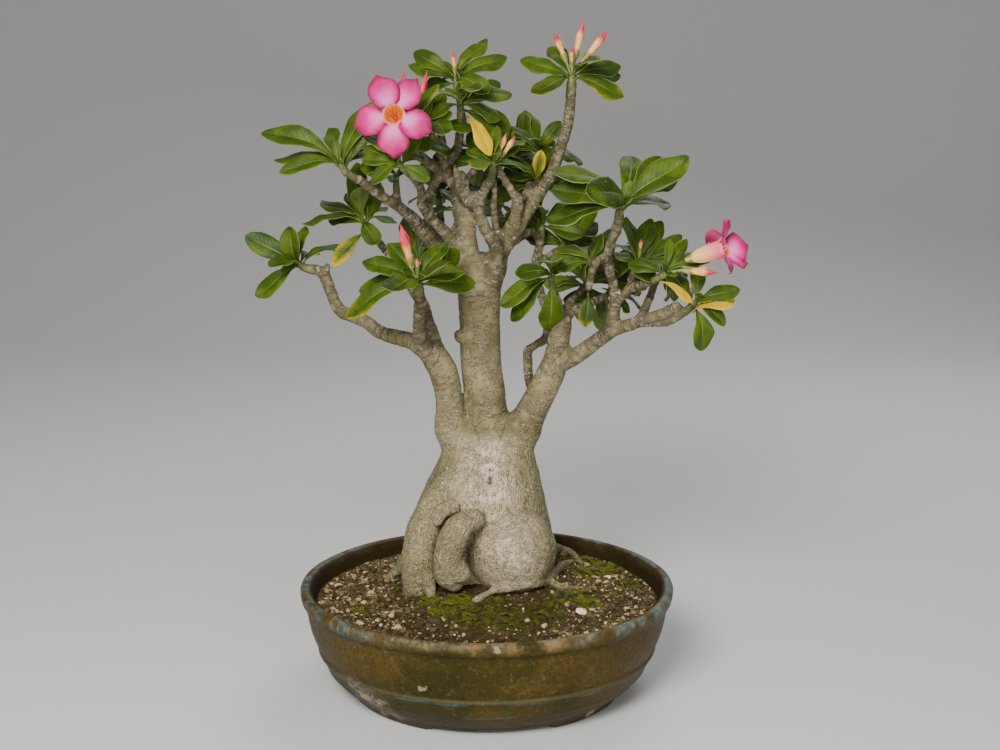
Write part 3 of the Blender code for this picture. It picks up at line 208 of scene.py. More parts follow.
# Leaf sprays: the limb that carries it, base (px, py, depth), leaf length mm, leaves that fill its back,
# and leaf tips (px, py, lean) with lean from -1 (towards the front) to 1 (away)
SPRAYS = {
    "leaves_left_high": ("olive_limb", (340, 165, -12), 60, 1,
        [(261, 133, -0.1), (279, 173, -0.5), (329, 128, 0.6), (365, 106, 0.1), (388, 160, 0.5),
         (372, 146, 0.8)]),
    "leaves_crown_back": ("crown_top_back", (455.5, 78, 20), 46, 0,
        [(414, 52, 0.2), (408, 65, -0.2), (487, 43, 0.3), (507, 57, -0.1), (489, 92, -0.8),
         (438, 89, 0.7)]),
    "leaves_crown_top": ("crown_top_right", (460, 103, 0), 50, 0,
        [(448, 93, -0.95), (479, 90, -0.8), (429, 118, -0.4), (512, 94, 0.3), (501, 119, 0.2),
         (489, 110, 0.9)]),
    "leaves_main_top": ("main_right", (572, 77, 12), 46, 0,
        [(520, 60, 0.0), (531, 93, -0.6), (621, 66, 0.2), (624, 97, -0.3), (549, 47, 0.6),
         (600, 60, -0.8)]),
    "leaves_right_tall": ("right_tall", (620, 207, -50), 64, 0,
        [(689, 156, -0.1), (632, 156, 0.6), (586, 191, -0.9), (549, 170, -0.2), (551, 189, 0.2),
         (545, 220, 0.1), (670, 203, 0.6), (643, 193, 0.9)]),
    "leaves_far_left": ("left_fork", (299, 265, 45), 48, 1,
        [(245, 235, -0.1), (255, 296, -0.2), (269, 267, -0.8), (289, 226, -0.4), (305, 226, 0.5),
         (314, 255, 0.7)]),
    "leaves_left_low": ("left_back", (363, 221, 52), 50, 0,
        [(302, 224, 0.0), (320, 203, 0.4), (361, 187, -0.5), (387, 207, 0.4), (397, 223, -0.3),
         (378, 244, -0.6)]),
    "leaves_front_left": ("front_left_stem", (418, 283, -46), 58, 0,
        [(346, 318, -0.2), (359, 291, 0.3), (384, 288, -0.95), (362, 262, -0.1), (388, 243, 0.2),
         (447, 242, 0.2), (459, 250, 0.5), (443, 266, -0.9), (465, 272, -0.1)]),
    "leaves_left_bloom": ("crown_left_bloom", (399, 164, -43), 44, 0,
        [(372, 184, -0.4), (362, 160, 0.1), (430, 180, -0.2), (424, 158, 0.6), (385, 150, 0.8)]),
    "leaves_bloom_arm": ("bloom_arm_left", (407, 139, -16), 44, 0,
        [(439, 84, 0.1), (424, 86, 0.5), (372, 130, 0.5), (385, 105, 0.8), (430, 150, -0.4)]),
    "leaves_crown_left": ("crown_top_left", (431, 128, -6), 40, 0,
        [(446, 134, -0.95), (452, 112, -0.2), (412, 108, 0.6), (440, 98, 0.7)]),
    "leaves_crown_inner": ("crown_inner_twig", (481, 161, 20), 44, 0,
        [(500, 128, 0.4), (462, 140, 0.5), (505, 152, 0.8), (474, 186, 0.4)]),
    "leaves_crown_centre": ("crown_centre_arm", (493, 163, -7), 40, 0,
        [(471, 167, -0.8), (466, 150, 0.2), (489, 124, 0.5)]),
    "leaves_main_arm": ("main_right_arm", (496, 160, 10), 40, 0,
        [(478, 120, 0.7), (525, 140, 0.5), (516, 160, 0.9)]),
    "leaves_main_twig": ("main_right_twig", (539, 180, 36), 42, 0,
        [(505, 156, 0.0), (512, 178, -0.2), (558, 196, 0.6), (520, 200, 0.5)]),
    "leaves_main_back": ("main_right_back", (539.5, 151, 48), 44, 0,
        [(517, 134, 0.5), (499, 146, 0.1), (561, 121, -0.2), (535, 138, -0.95), (560, 150, 0.7)]),
    "leaves_main_low": ("right_bent", (542, 224, 39), 50, 0,
        [(585, 234, -0.4), (582, 205, 0.3), (541, 206, -0.9), (578, 252, -0.1), (512, 222, 0.8),
         (528, 196, 0.6)]),
    "leaves_back_right": ("right_bent_twig", (566, 243, 54), 46, 0,
        [(588, 262, -0.1), (604, 236, 0.3), (572, 214, 0.5), (556, 270, 0.6)]),
    "leaves_right_front": ("right_twig_front", (551, 276, -16), 50, 0,
        [(515, 274, -0.5), (500, 306, -0.1), (511, 321, 0.2), (549, 262, -0.95), (549, 331, 0.6),
         (575, 262, 0.5)]),
    "leaves_right_short": ("right_short", (588, 263, -20), 42, 0,
        [(556, 270, -0.3), (571, 248, 0.2), (589, 246, 0.9), (602, 234, -0.2)]),
    "leaves_right_low": ("right_twig_back", (586.5, 283, 35), 44, 0,
        [(566, 266, 0.6), (606, 264, 0.8), (602, 320, 0.2), (582, 322, 0.5), (560, 290, 0.9)]),
    "leaves_right_side": ("right_twig_side", (608, 294, 34), 44, 0,
        [(630, 312, 0.2), (640, 290, 0.6), (620, 270, 0.9), (600, 330, 0.6)]),
    "leaves_right_middle": ("right_middle_twig", (638.5, 262, -8), 46, 0,
        [(682, 235, 0.2), (614, 254, -0.4), (616, 244, 0.5), (666, 265, -0.4), (648, 282, -0.9),
         (614, 277, 0.1), (637, 242, 0.9)]),
    "leaves_right_back": ("right_back_twig", (657, 279, 9), 40, 0,
        [(688, 292, 0.3), (673, 252, 0.8), (636, 296, 0.7), (672, 300, 0.9)]),
    "leaves_right_bloom": ("right_bloom_arm", (665.5, 273, -51), 42, 0,
        [(670, 238, 0.2), (687, 239, 0.4), (668, 300, 0.6), (640, 268, 0.9)]),
    "leaves_far_right": ("right_arm_low", (695, 302.5, -38), 48, 0,
        [(740, 289, -0.1), (735, 300, 0.3), (725, 326, -0.3), (702, 351, 0.0), (698, 266, 0.2),
         (676, 284, 0.7)]),
    "leaves_back_high": ("back_high", (512.5, 181, 62), 46, 0,
        [(495, 150, 0.3), (530, 158, 0.4), (492, 196, 0.1), (530, 206, 0.3), (512, 190, 0.95)]),
    "leaves_back_middle": ("back_middle", (497, 203, 80), 44, 0,
        [(476, 190, 0.2), (470, 218, 0.3), (520, 222, 0.2), (515, 190, 0.6), (497, 212, 0.95)]),
    "leaves_back_left": ("back_left", (438.5, 196, 73), 46, 0,
        [(410, 178, 0.2), (408, 204, 0.4), (462, 208, 0.1), (458, 172, 0.4), (437, 205, 0.95)]),
    "leaves_left_inner": ("left_back_twig", (416.5, 260, 47), 46, 0,
        [(388, 244, 0.3), (384, 268, 0.2), (440, 242, 0.3), (438, 276, 0.6), (414, 262, 0.95)]),
    "leaves_inner_low": ("crown_left_twig", (456, 208, 31), 34, 0,
        [(470, 190, 0.4), (440, 214, 0.3), (476, 216, 0.6)]),
    "leaves_olive_twig": ("olive_twig", (395.5, 175, 2), 20, 0,
        [(384, 166, 0.3), (390, 182, -0.8), (404, 168, 0.5)]),
}

# Leaves that have turned: a place next to the limb that bears it (px, py, depth),
# tip (px, py, depth), width mm
TURNED_LEAVES = {
    "yellow_leaf_crown": ((465.5, 115.5, -1), (490.5, 156, -16), 14.0),
    "yellow_leaf_twig": ((536, 180, 23), (541, 150, 18), 10.0),
    "yellow_leaf_left": ((365, 233, 46), (332, 266, 34), 13.0),
    "yellow_leaf_right": ((660, 282, -49), (692.5, 303, -60), 8.5),
    "yellow_leaf_far_right": ((692, 312, -40), (735, 306, -54), 9.0),
    "leaf_hanging": ((588, 292.5, -47), (585, 327, -52), 12.0),
}

# Buds: root (px, py, depth), tip (px, py, depth), largest diameter mm
BUDS = {
    "bud_front_left": ((412, 268, -52), (400.5, 224.5, -58), 7.8),
    "bud_front_left_small": ((417.5, 269, -50), (417, 258, -52), 3.2),
    "bud_bloom_arm_a": ((406, 117, -14), (403.5, 70, -10), 5.6),
    "bud_bloom_arm_b": ((416, 117, -10), (427, 71, -6), 5.2),
    "bud_crown_back": ((455, 72, 17), (452.5, 50.5, 14), 4.0),
    "bud_main_top_a": ((566, 61, 8), (554, 32, 4), 5.2),
    "bud_main_top_b": ((574.5, 60, 10), (583.5, 20, 8), 5.8),
    "bud_main_top_c": ((582, 62, 12), (608.5, 30, 14), 6.2),
    "bud_main_top_d": ((572, 66, 5), (571.5, 46, 2), 3.4),
    "bud_main_arm_a": ((497, 157, 3), (506.5, 133, 1), 4.6),
    "bud_main_arm_b": ((501, 157.5, 6), (515.5, 136, 6), 4.6),
    "bud_right_bloom": ((683, 270.5, -59), (717, 272.5, -66), 6.4),
    "bud_right_middle": ((640, 251, -12), (641.5, 238.5, -13), 3.4),
}

# Open blooms: tube foot, mouth centre (px, py, depth), petal tips (px, py, depth), petal width mm
BLOOMS = {
    "bloom_left": ((401, 128, -24), (393.5, 114, -48), 22.0,
        [(376, 75, -50), (417, 78, -48), (432, 132, -56), (393, 158, -60), (354, 124, -54)]),
    "bloom_right": ((686, 260, -60), (725.5, 247.5, -69.5), 22.0,
        [(730.5, 220, -74), (749, 245, -60), (749, 263, -62), (732, 273.5, -76), (709.5, 241, -50)]),
}


def sight(px, py, depth):
    """Point in metres where the sight line through a pixel meets the plane Y = depth mm."""
    across = (px - CENTRE_PX[0]) / FOCAL_PX
    up = (CENTRE_PX[1] - py) / FOCAL_PX
    ray = Vector((across, math.cos(PITCH) + up * math.sin(PITCH), up * math.cos(PITCH) - math.sin(PITCH)))
    return (EYE + ray * ((depth - EYE.y) / ray.y)) * MM


def sight_at_height(px, py, height):
    """Point in metres where the sight line through a pixel meets the plane Z = height mm."""
    ray = sight(px, py, 0.0) / MM - EYE
    return (EYE + ray * ((height - EYE.z) / ray.z)) * MM


def clamp(value):
    """A value held between 0 and 1."""
    return min(max(value, 0.0), 1.0)


def round_steps(sides):
    """Angles evenly round a full turn."""
    return [2 * math.pi * side / sides for side in range(sides)]


class Shell:
    """A mesh under construction, with one UV layer and named float values on its points."""

    def __init__(self):
        self.verts = []
        self.faces = []
        self.uvs = []
        self.values = {}

    def point(self, place, uv=(0.0, 0.0), **values):
        """Add a point and return its index."""
        index = len(self.verts)
        self.verts.append(place)
        self.uvs.append(uv)
        for name, value in values.items():
            self.values.setdefault(name, {})[index] = value
        return index

    def grid(self, rows, closed=False):
        """Add quads between neighbouring rows of point indexes."""
        for low, high in zip(rows, rows[1:]):
            count = len(low)
            for step in range(count if closed else count - 1):
                after = (step + 1) % count
                self.faces.append((low[step], low[after], high[after], high[step]))

    def skin(self, rings):
        """Join closed rings of point indexes, with a cap over the first and the last."""
        self.grid(rings, closed=True)
        self.faces.append(tuple(reversed(rings[0])))
        self.faces.append(tuple(rings[-1]))

    def blade(self, tops, unders):
        """Join the upper and lower rows of points of a thin blade into one closed skin."""
        self.grid(tops)
        self.grid([list(reversed(row)) for row in unders])
        for low, high, low_under, high_under in zip(tops, tops[1:], unders, unders[1:]):
            self.faces.append((low_under[0], low[0], high[0], high_under[0]))
            self.faces.append((low[-1], low_under[-1], high_under[-1], high[-1]))
        first, last, first_under, last_under = tops[0], tops[-1], unders[0], unders[-1]
        for step in range(len(first) - 1):
            self.faces.append((first[step + 1], first[step], first_under[step], first_under[step + 1]))
            self.faces.append((last[step], last[step + 1], last_under[step + 1], last_under[step]))

    def add_faces(self, start, faces):
        """Add faces whose indexes count from a point."""
        self.faces.extend(tuple(start + index for index in face) for face in faces)

    def build(self, name):
        """Link the mesh as a smooth-shaded object."""
        mesh = bpy.data.meshes.new(name)
        mesh.from_pydata(self.verts, [], self.faces)
        layer = mesh.uv_layers.new(name="blade")
        flat = [value for loop in mesh.loops for value in self.uvs[loop.vertex_index]]
        layer.data.foreach_set("uv", flat)
        for key, values in self.values.items():
            store_values(mesh, key, [values.get(index, 0.0) for index in range(len(self.verts))])
        return link_smooth(name, mesh)


def store_values(mesh, key, values):
    """Keep one float for each point of a mesh under a name that a material can read."""
    mesh.attributes.new(key, "FLOAT", "POINT").data.foreach_set("value", values)


def link_smooth(name, mesh):
    """A smooth-shaded object of a mesh, in the scene."""
    mesh.shade_smooth()
    thing = bpy.data.objects.new(name, mesh)
    bpy.context.scene.collection.objects.link(thing)
    return thing


def dress(thing, mat, slot, *nodes):
    """Give a piece its material, its body and the CAD nodes it stands for; its slot is not used."""
    thing.data.materials.clear()
    thing.data.materials.append(mat)
    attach(thing, "root")
    if nodes:
        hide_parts(*nodes)


def catmull(points, index, t):
    """Point at t on the smooth curve through points, from the one at index to the next."""
    start, end = points[index], points[index + 1]
    before, after = points[max(index - 1, 0)], points[min(index + 2, len(points) - 1)]
    return 0.5 * (2 * start + (end - before) * t + (2 * before - 5 * start + 4 * end - after) * t * t
                  + (3 * start - before - 3 * end + after) * t ** 3)


def smooth_path(points, widths, spacing=RING_STEP):
    """(place, width, distance from the start in mm) along a smooth curve through the points."""
    path = []
    travelled = 0.0
    for index in range(len(points) - 1):
        steps = max(1, round((points[index + 1] - points[index]).length / spacing))
        for step in range(steps):
            t = step / steps
            place = catmull(points, index, t)
            width = widths[index] + (widths[index + 1] - widths[index]) * t * t * (3 - 2 * t)
            if path:
                travelled += (place - path[-1][0]).length / MM
            path.append((place, width, travelled))
    travelled += (points[-1] - path[-1][0]).length / MM
    path.append((points[-1], widths[-1], travelled))
    return path


def heading_at(path, index):
    """Direction of a path at one of its stations."""
    ahead, behind = path[min(index + 1, len(path) - 1)][0], path[max(index - 1, 0)][0]
    return (ahead - behind).normalized()


def add_tube(shell, path, sides):
    """A closed tube of changing width (mm) along a path, with a rounded end."""
    side = (path[1][0] - path[0][0]).normalized().orthogonal().normalized()
    place, width, travelled = path[-1]
    forward = (place - path[-2][0]).normalized()
    stations = list(path)
    for share, reach in ROUND_END:
        stations.append((place + forward * width * reach * MM, width * share, travelled))
    rings = []
    for index, (place, width, _) in enumerate(stations):
        heading = heading_at(stations, index)
        side = (side - heading * side.dot(heading)).normalized()
        other = heading.cross(side)
        rings.append([shell.point(place + (side * math.cos(angle) + other * math.sin(angle)) * width / 2 * MM)
                      for angle in round_steps(sides)])
    shell.skin(rings)


def soil_height(x, y):
    """Height in mm of the CAD soil's top at a place in mm."""
    away = math.hypot(x - MOUND_CENTRE[0], y - MOUND_CENTRE[1])
    rim = math.hypot(x, y)
    mound = (SOIL_MOUND - SOIL_EDGE) * math.exp(-((away / MOUND_REACH) ** 4))
    waves = math.sin(x * 0.075 + 0.6) * math.cos(y * 0.09 - 0.4) + 0.6 * math.sin(x * 0.17 - y * 0.14)
    return SOIL_EDGE + mound + waves * SOIL_WAVE * (1 - (rim / RIM_RADIUS) ** 4)


class Shade:
    """A Principled material under construction: each call adds nodes and returns their output."""

    def __init__(self, name, **constants):
        self.material = bpy.data.materials.new(name)
        self.material.use_nodes = True
        self.tree = self.material.node_tree
        self.shader = self.tree.nodes["Principled BSDF"]
        for key, value in constants.items():
            self.shader.inputs[key.replace("_", " ")].default_value = value
        self.place = self.node("ShaderNodeTexCoord", {}, "Object")

    def node(self, kind, inputs, output=0, **settings):
        """Add a node, set or link its inputs, and return one of its outputs."""
        node = self.tree.nodes.new(kind)
        for key, value in settings.items():
            setattr(node, key, value)
        for key, value in inputs.items():
            if isinstance(value, bpy.types.NodeSocket):
                self.tree.links.new(value, node.inputs[key])
            else:
                node.inputs[key].default_value = value
        return node.outputs[output]

    def value(self, name):
        """A float value that the mesh carries on its points."""
        return self.node("ShaderNodeAttribute", {}, "Fac", attribute_name=name)

    def math(self, operation, first, second=0.0):
        """Arithmetic on two values."""
        return self.node("ShaderNodeMath", {0: first, 1: second}, operation=operation)

    def times(self, first, second):
        """Product of two values."""
        return self.math("MULTIPLY", first, second)

    def plus(self, first, second):
        """Sum of two values."""
        return self.math("ADD", first, second)

    def off(self, value, middle):
        """How far a value lies from a middle one."""
        return self.math("ABSOLUTE", self.math("SUBTRACT", value, middle))

    def ramp(self, fac, low, high):
        """0 below low, 1 above high, smooth between."""
        return self.node("ShaderNodeMapRange", {"Value": fac, "From Min": low, "From Max": high},
                         interpolation_type="SMOOTHSTEP")

    def masked(self, mask, fac, low, high):
        """A mask times the ramp of another value."""
        return self.times(mask, self.ramp(fac, low, high))

    def mix(self, fac, first, second):
        """Blend of two colours."""
        first = first if isinstance(first, bpy.types.NodeSocket) else (*first, 1.0)
        second = second if isinstance(second, bpy.types.NodeSocket) else (*second, 1.0)
        return self.node("ShaderNodeMix", {0: fac, 6: first, 7: second}, 2, data_type="RGBA")

    def blend(self, fac, low, high, first, second):
        """From one colour to another as a value passes from low to high."""
        return self.mix(self.ramp(fac, low, high), first, second)

    def layers(self, colour, *rows):
        """A colour with further ones laid over it, from rows of (mask, strength, colour)."""
        for mask, strength, over in rows:
            colour = self.mix(self.times(mask, strength), colour, over)
        return colour

    def stretched(self, scale):
        """The place with its axes scaled, for drawn-out grain."""
        return self.node("ShaderNodeMapping", {"Vector": self.place, "Scale": scale})

    def split(self, vector):
        """The three parts of a vector."""
        node = self.tree.nodes.new("ShaderNodeSeparateXYZ")
        self.tree.links.new(vector, node.inputs[0])
        return node.outputs

    def noise(self, scale, detail=3.0, rough=0.55, vector=None, distortion=0.0):
        """Noise of about 1 / scale metres, 0 to 1."""
        return self.node("ShaderNodeTexNoise", {"Vector": vector or self.place, "Scale": scale,
                                               "Detail": detail, "Roughness": rough,
                                               "Distortion": distortion})

    def contour(self, noise_value, width):
        """1 on the thin squiggles where a noise passes its middle value, 0 off them."""
        return self.ramp(self.off(noise_value, 0.5), width, 0.0)

    def cells(self, scale, jitter=1.0):
        """Cell pattern of about 1 / scale metres."""
        return self.node("ShaderNodeTexVoronoi", {"Vector": self.place, "Scale": scale, "Randomness": jitter},
                         "Distance")

    def blade(self):
        """(across, along) of a leaf or petal, from its UV layer."""
        return self.split(self.node("ShaderNodeUVMap", {}, uv_map="blade"))[:2]

    def beside(self, across):
        """0 on the midrib of a leaf or petal, 1 at its edges."""
        return self.math("ABSOLUTE", self.times(self.math("SUBTRACT", across, 0.5), 2.0))

    def stripes(self, value, width, core=0.0):
        """1 on the thin lines where a value is a whole number, 0 off them."""
        return self.ramp(self.math("PINGPONG", value, 0.5), width, core)

    def patches(self, rows, core, soft, vector=None):
        """1 within balls given as (centre, radius) in mm, up to core radii, and fading over soft radii."""
        found = None
        for centre, radius in rows:
            ends = {0: vector or self.place, 1: [part * MM for part in centre]}
            away = self.node("ShaderNodeVectorMath", ends, "Value", operation="DISTANCE")
            patch = self.node("ShaderNodeMapRange", {"Value": away, "From Min": radius * (core + soft) * MM,
                                                    "From Max": radius * core * MM})
            found = patch if found is None else self.math("MAXIMUM", found, patch)
        return found

    def finish(self, colour, roughness=None, heights=()):
        """Link colour, roughness and bumps given as (height, distance in mm), and return the material."""
        self.tree.links.new(colour, self.shader.inputs["Base Color"])
        if roughness is not None:
            self.tree.links.new(roughness, self.shader.inputs["Roughness"])
        normal = None
        for height, distance in heights:
            inputs = {"Height": height, "Distance": distance * MM}
            if normal is not None:
                inputs["Normal"] = normal
            normal = self.node("ShaderNodeBump", inputs)
        if normal is not None:
            self.tree.links.new(normal, self.shader.inputs["Normal"])
        return self.material


# Bark relief, millimetres
LUMPS = 0.45
GRAIN = 0.28
SCAR_PAD = 0.55
RING_GROOVE = 0.22
RING_SPACING = 5.2
GREEN_TIP = 15.0
# How much wider than in the CAD a limb starts, to make up for the softening of its skin
SKIN_ALLOWANCE = 0.3
# How far a limb narrows to the foot of its leaves, and its least width there in mm
TWIG_TAPER = 0.72
TWIG_END = 4.2
CAUDEX_SIDES = 64
CAUDEX_STEPS = 6
BALL_SIDES = 32
BALL_RINGS = 20
# Sides of a limb by its largest width in mm
LIMB_SIDES = ((20, 40), (9, 24), (0, 16))
SOFTENING = 0.5
SOFTEN_ROUNDS = 4
# Where the base's folds end below the fork, as (px, py, depth), and over how many metres they come in
BASE_TOP = (490, 426, 18)
BASE_FADE = 0.016
# Scales of the relief's noises, per metre
JITTER_SCALE = 60
SCAR_SCALE = 135
LUMP_SCALE = 75
GRAIN_SCALE = 210
FOLD_SCALES = (95, 95, 26)
# How far in mm a ring strays, how wide a ring is by its spacing, and how far a scar reaches in its cell
RING_JITTER = 2.2
RING_WIDTH = 0.13
SCAR_REACH = 0.42
# Widths in mm from which a limb has fewer rings and paler bark, and over how many more it gets there
STOUT_FROM, STOUT_OVER = 6.0, 22.0
GIRTH_FROM, GIRTH_OVER = 8.0, 14.0


def caudex_shell(shell):
    """The swollen trunk base as a smooth skin over the caudex sections."""
    middles, halves = [], []
    for py, left, right, half_depth, depth in reversed(CAUDEX):
        low, high = sight(left, py, depth), sight(right, py, depth)
        middles.append((low + high) / 2)
        halves.append(Vector(((high - low).length / 2, half_depth * MM, 0.0)))
    rings = []
    for index in range(len(middles) - 1):
        for step in range(CAUDEX_STEPS):
            middle, half = (catmull(rows, index, step / CAUDEX_STEPS) for rows in (middles, halves))
            offsets = [Vector((math.cos(angle) * half.x, math.sin(angle) * half.y, 0.0))
                       for angle in round_steps(CAUDEX_SIDES)]
            rings.append([shell.point(middle + offset) for offset in offsets])
    shell.skin(rings)


def add_ball(shell, centre, halves):
    """A closed ellipsoid with its half sizes in mm."""
    rings = []
    for low in range(1, BALL_RINGS):
        polar = math.pi * low / BALL_RINGS
        ring = []
        for angle in round_steps(BALL_SIDES):
            offset = Vector((math.sin(polar) * math.cos(angle) * halves[0],
                             math.sin(polar) * math.sin(angle) * halves[1], -math.cos(polar) * halves[2]))
            ring.append(shell.point(centre + offset * MM))
        rings.append(ring)
    shell.skin(rings)


def wood_paths():
    """Every limb, lobe and root by name as (path, green), limbs run on to the foot of their leaves."""
    bases = {row[0]: sight(*row[1]) for row in SPRAYS.values()}
    found = {}
    for limb, rows in LIMBS.items():
        points = [sight(*row[:3]) for row in rows]
        widths = [row[3] + SKIN_ALLOWANCE for row in rows]
        if limb in bases:
            points.append(bases[limb])
            widths.append(max(widths[-1] * TWIG_TAPER, TWIG_END))
        found[limb] = (smooth_path(points, widths), float(limb in bases))
    for lobe, rows in CAUDEX_LOBES.items():
        found[lobe] = (smooth_path([sight(*row[:3]) for row in rows], [row[3] for row in rows]), 0.0)
    for root, rows in SOIL_ROOTS.items():
        points = [sight_at_height(*row[:3]) for row in rows]
        found[root] = (smooth_path(points, [row[3] + SKIN_ALLOWANCE for row in rows]), 0.0)
    return found


def rough_wood(paths):
    """Mesh of the whole wood as one softened skin, before its relief."""
    shell = Shell()
    caudex_shell(shell)
    add_ball(shell, sight(*RIGHT_BULB[0]), RIGHT_BULB[1])
    for path, _ in paths.values():
        widest = max(width for _, width, _ in path)
        add_tube(shell, path, next(sides for limit, sides in LIMB_SIDES if widest > limit))
    rough = shell.build("desert_rose_wood_rough")
    remesh = rough.modifiers.new("skin", "REMESH")
    remesh.mode = "VOXEL"
    remesh.voxel_size = BARK_VOXEL
    smooth = rough.modifiers.new("soften", "SMOOTH")
    smooth.factor = SOFTENING
    smooth.iterations = SOFTEN_ROUNDS
    bpy.context.view_layer.update()
    mesh = bpy.data.meshes.new_from_object(rough.evaluated_get(bpy.context.evaluated_depsgraph_get()))
    bpy.data.objects.remove(rough, do_unlink=True)
    return mesh


def wood_samples(paths):
    """(place, width, distance travelled, heading, green, whole length) all along the wood, and its tree."""
    samples = []
    for name, (path, green) in paths.items():
        if name != "mid_burl":
            samples += [(*station, heading_at(path, index), green, path[-1][2])
                        for index, station in enumerate(path)]
    for py, left, right, _, depth in CAUDEX:
        middle = sight((left + right) / 2, py, depth)
        samples.append((middle, right - left, middle.z / MM, Vector((0, 0, 1)), 0.0, 0.0))
    tree = KDTree(len(samples))
    for index, sample in enumerate(samples):
        tree.insert(sample[0], index)
    tree.balance()
    return samples, tree


def bark_values(place, sample, top):
    """What the material reads at a place on the skin, and how far in mm its relief pushes it out."""
    centre, width, travelled, heading, green, whole = sample
    travelled += (place - centre).dot(heading) / MM
    low = clamp((top - place.z) / BASE_FADE)
    stout = max(clamp((width - STOUT_FROM) / STOUT_OVER), low)
    jitter = noise.noise(place * JITTER_SCALE) * RING_JITTER
    turn = (travelled + jitter) / (RING_SPACING * (1.0 + 0.8 * stout))
    ring = math.exp(-((abs(turn - round(turn)) / RING_WIDTH) ** 2)) * (1.0 - low)
    cell = noise.voronoi(place * SCAR_SCALE)[0]
    scar = max(0.0, 1.0 - (cell[0] / SCAR_REACH) ** 2) * (1.0 - low) * (1.0 - 0.6 * stout)
    tip = green * max(0.0, 1.0 - (whole - travelled) / GREEN_TIP)
    lump = noise.noise(place * LUMP_SCALE) * LUMPS + noise.noise(place * GRAIN_SCALE) * GRAIN
    folds = 0.0
    if low > 0.0:
        drawn = Vector([part * scale for part, scale in zip(place, FOLD_SCALES)])
        folds = (noise.noise(drawn) * 0.7 + noise.noise(drawn * 2.3) * 0.3) * low
    push = lump * (0.5 + 0.5 * min(width / 9.0, 1.0)) * (1 - 0.5 * tip) + folds
    push += scar * SCAR_PAD - ring * RING_GROOVE * (1 - 0.6 * tip)
    girth = clamp((width - GIRTH_FROM) / GIRTH_OVER)
    row = {"tip": tip, "base": low, "ring": ring, "scar": scar, "along": travelled * MM, "girth": girth}
    return row, push


def build_wood(mat):
    """Caudex, roots and limbs as one skin with lumps, leaf scars and rings in its surface."""
    paths = wood_paths()
    mesh = rough_wood(paths)
    samples, tree = wood_samples(paths)
    top = sight(*BASE_TOP).z
    rows, moved = [], []
    for vert in mesh.vertices:
        row, push = bark_values(vert.co, samples[tree.find(vert.co)[1]], top)
        rows.append(row)
        moved.append(vert.co + vert.normal * push * MM)
    for vert, place in zip(mesh.vertices, moved):
        vert.co = place
    for key in rows[0]:
        store_values(mesh, key, [row[key] for row in rows])
    dress(link_smooth("desert_rose_wood_skin", mesh), mat, "bark", "desert_rose_wood")


# Places on the base's front as pixels of the photograph, with their radius in mm
# The base's pale middle: partly its own pinkish tone, partly painted light where its front is lit
PALE_LIT_CENTRE = [(488, 455, 28.0), (493, 492, 32.0), (508, 545, 34.0)]
BASE_SCARS = [(489, py, 9.0) for py in (445, 459, 471, 483, 497)]
WOUND = [(490, 481.5, 2.5), (489.6, 484.5, 2.6), (490, 473, 1.5)]
BASE_FRONT = -22
# How much the pattern round a limb is drawn out, so that its wrinkles lie across it
LIMB_SQUEEZE = 0.3


def front_patches(shade, rows, core):
    """1 on places of the caudex's front, fading out."""
    places = [(sight(px, py, BASE_FRONT) / MM, radius) for px, py, radius in rows]
    flat = [((place.x, 0.0, place.z), radius) for place, radius in places]
    return shade.patches(flat, core, 1 - core, shade.stretched((1.0, 0.0, 1.0)))


# Colours of the bark, linear like all colours here
# The centre colour is partly the base's own pale pinkish tone and partly painted light on its front middle.
# The crease colour is painted shade in the creases of the base.
# The flank colour is painted shade on the base's sides.
BARK = {"twig_dark": (0.052, 0.042, 0.016), "twig_light": (0.115, 0.094, 0.042),
        "trunk_dark": (0.110, 0.088, 0.036), "trunk_light": (0.250, 0.205, 0.100),
        "band": (0.26, 0.215, 0.125), "leaf_scar": (0.38, 0.33, 0.21), "ring": (0.045, 0.034, 0.016),
        "wrinkle": (0.54, 0.48, 0.34), "base_dark": (0.205, 0.174, 0.080),
        "base_light": (0.39, 0.332, 0.195), "centre": (0.70, 0.575, 0.42), "cloud": (0.160, 0.142, 0.064),
        "flank_shade": (0.155, 0.137, 0.055), "shaded_crease": (0.125, 0.105, 0.045), "squiggle": (0.74, 0.645, 0.445),
        "base_scar": (0.84, 0.66, 0.58), "wound": (0.13, 0.045, 0.015), "green_dark": (0.100, 0.125, 0.030),
        "green_light": (0.20, 0.215, 0.080), "speck": (0.065, 0.050, 0.028)}


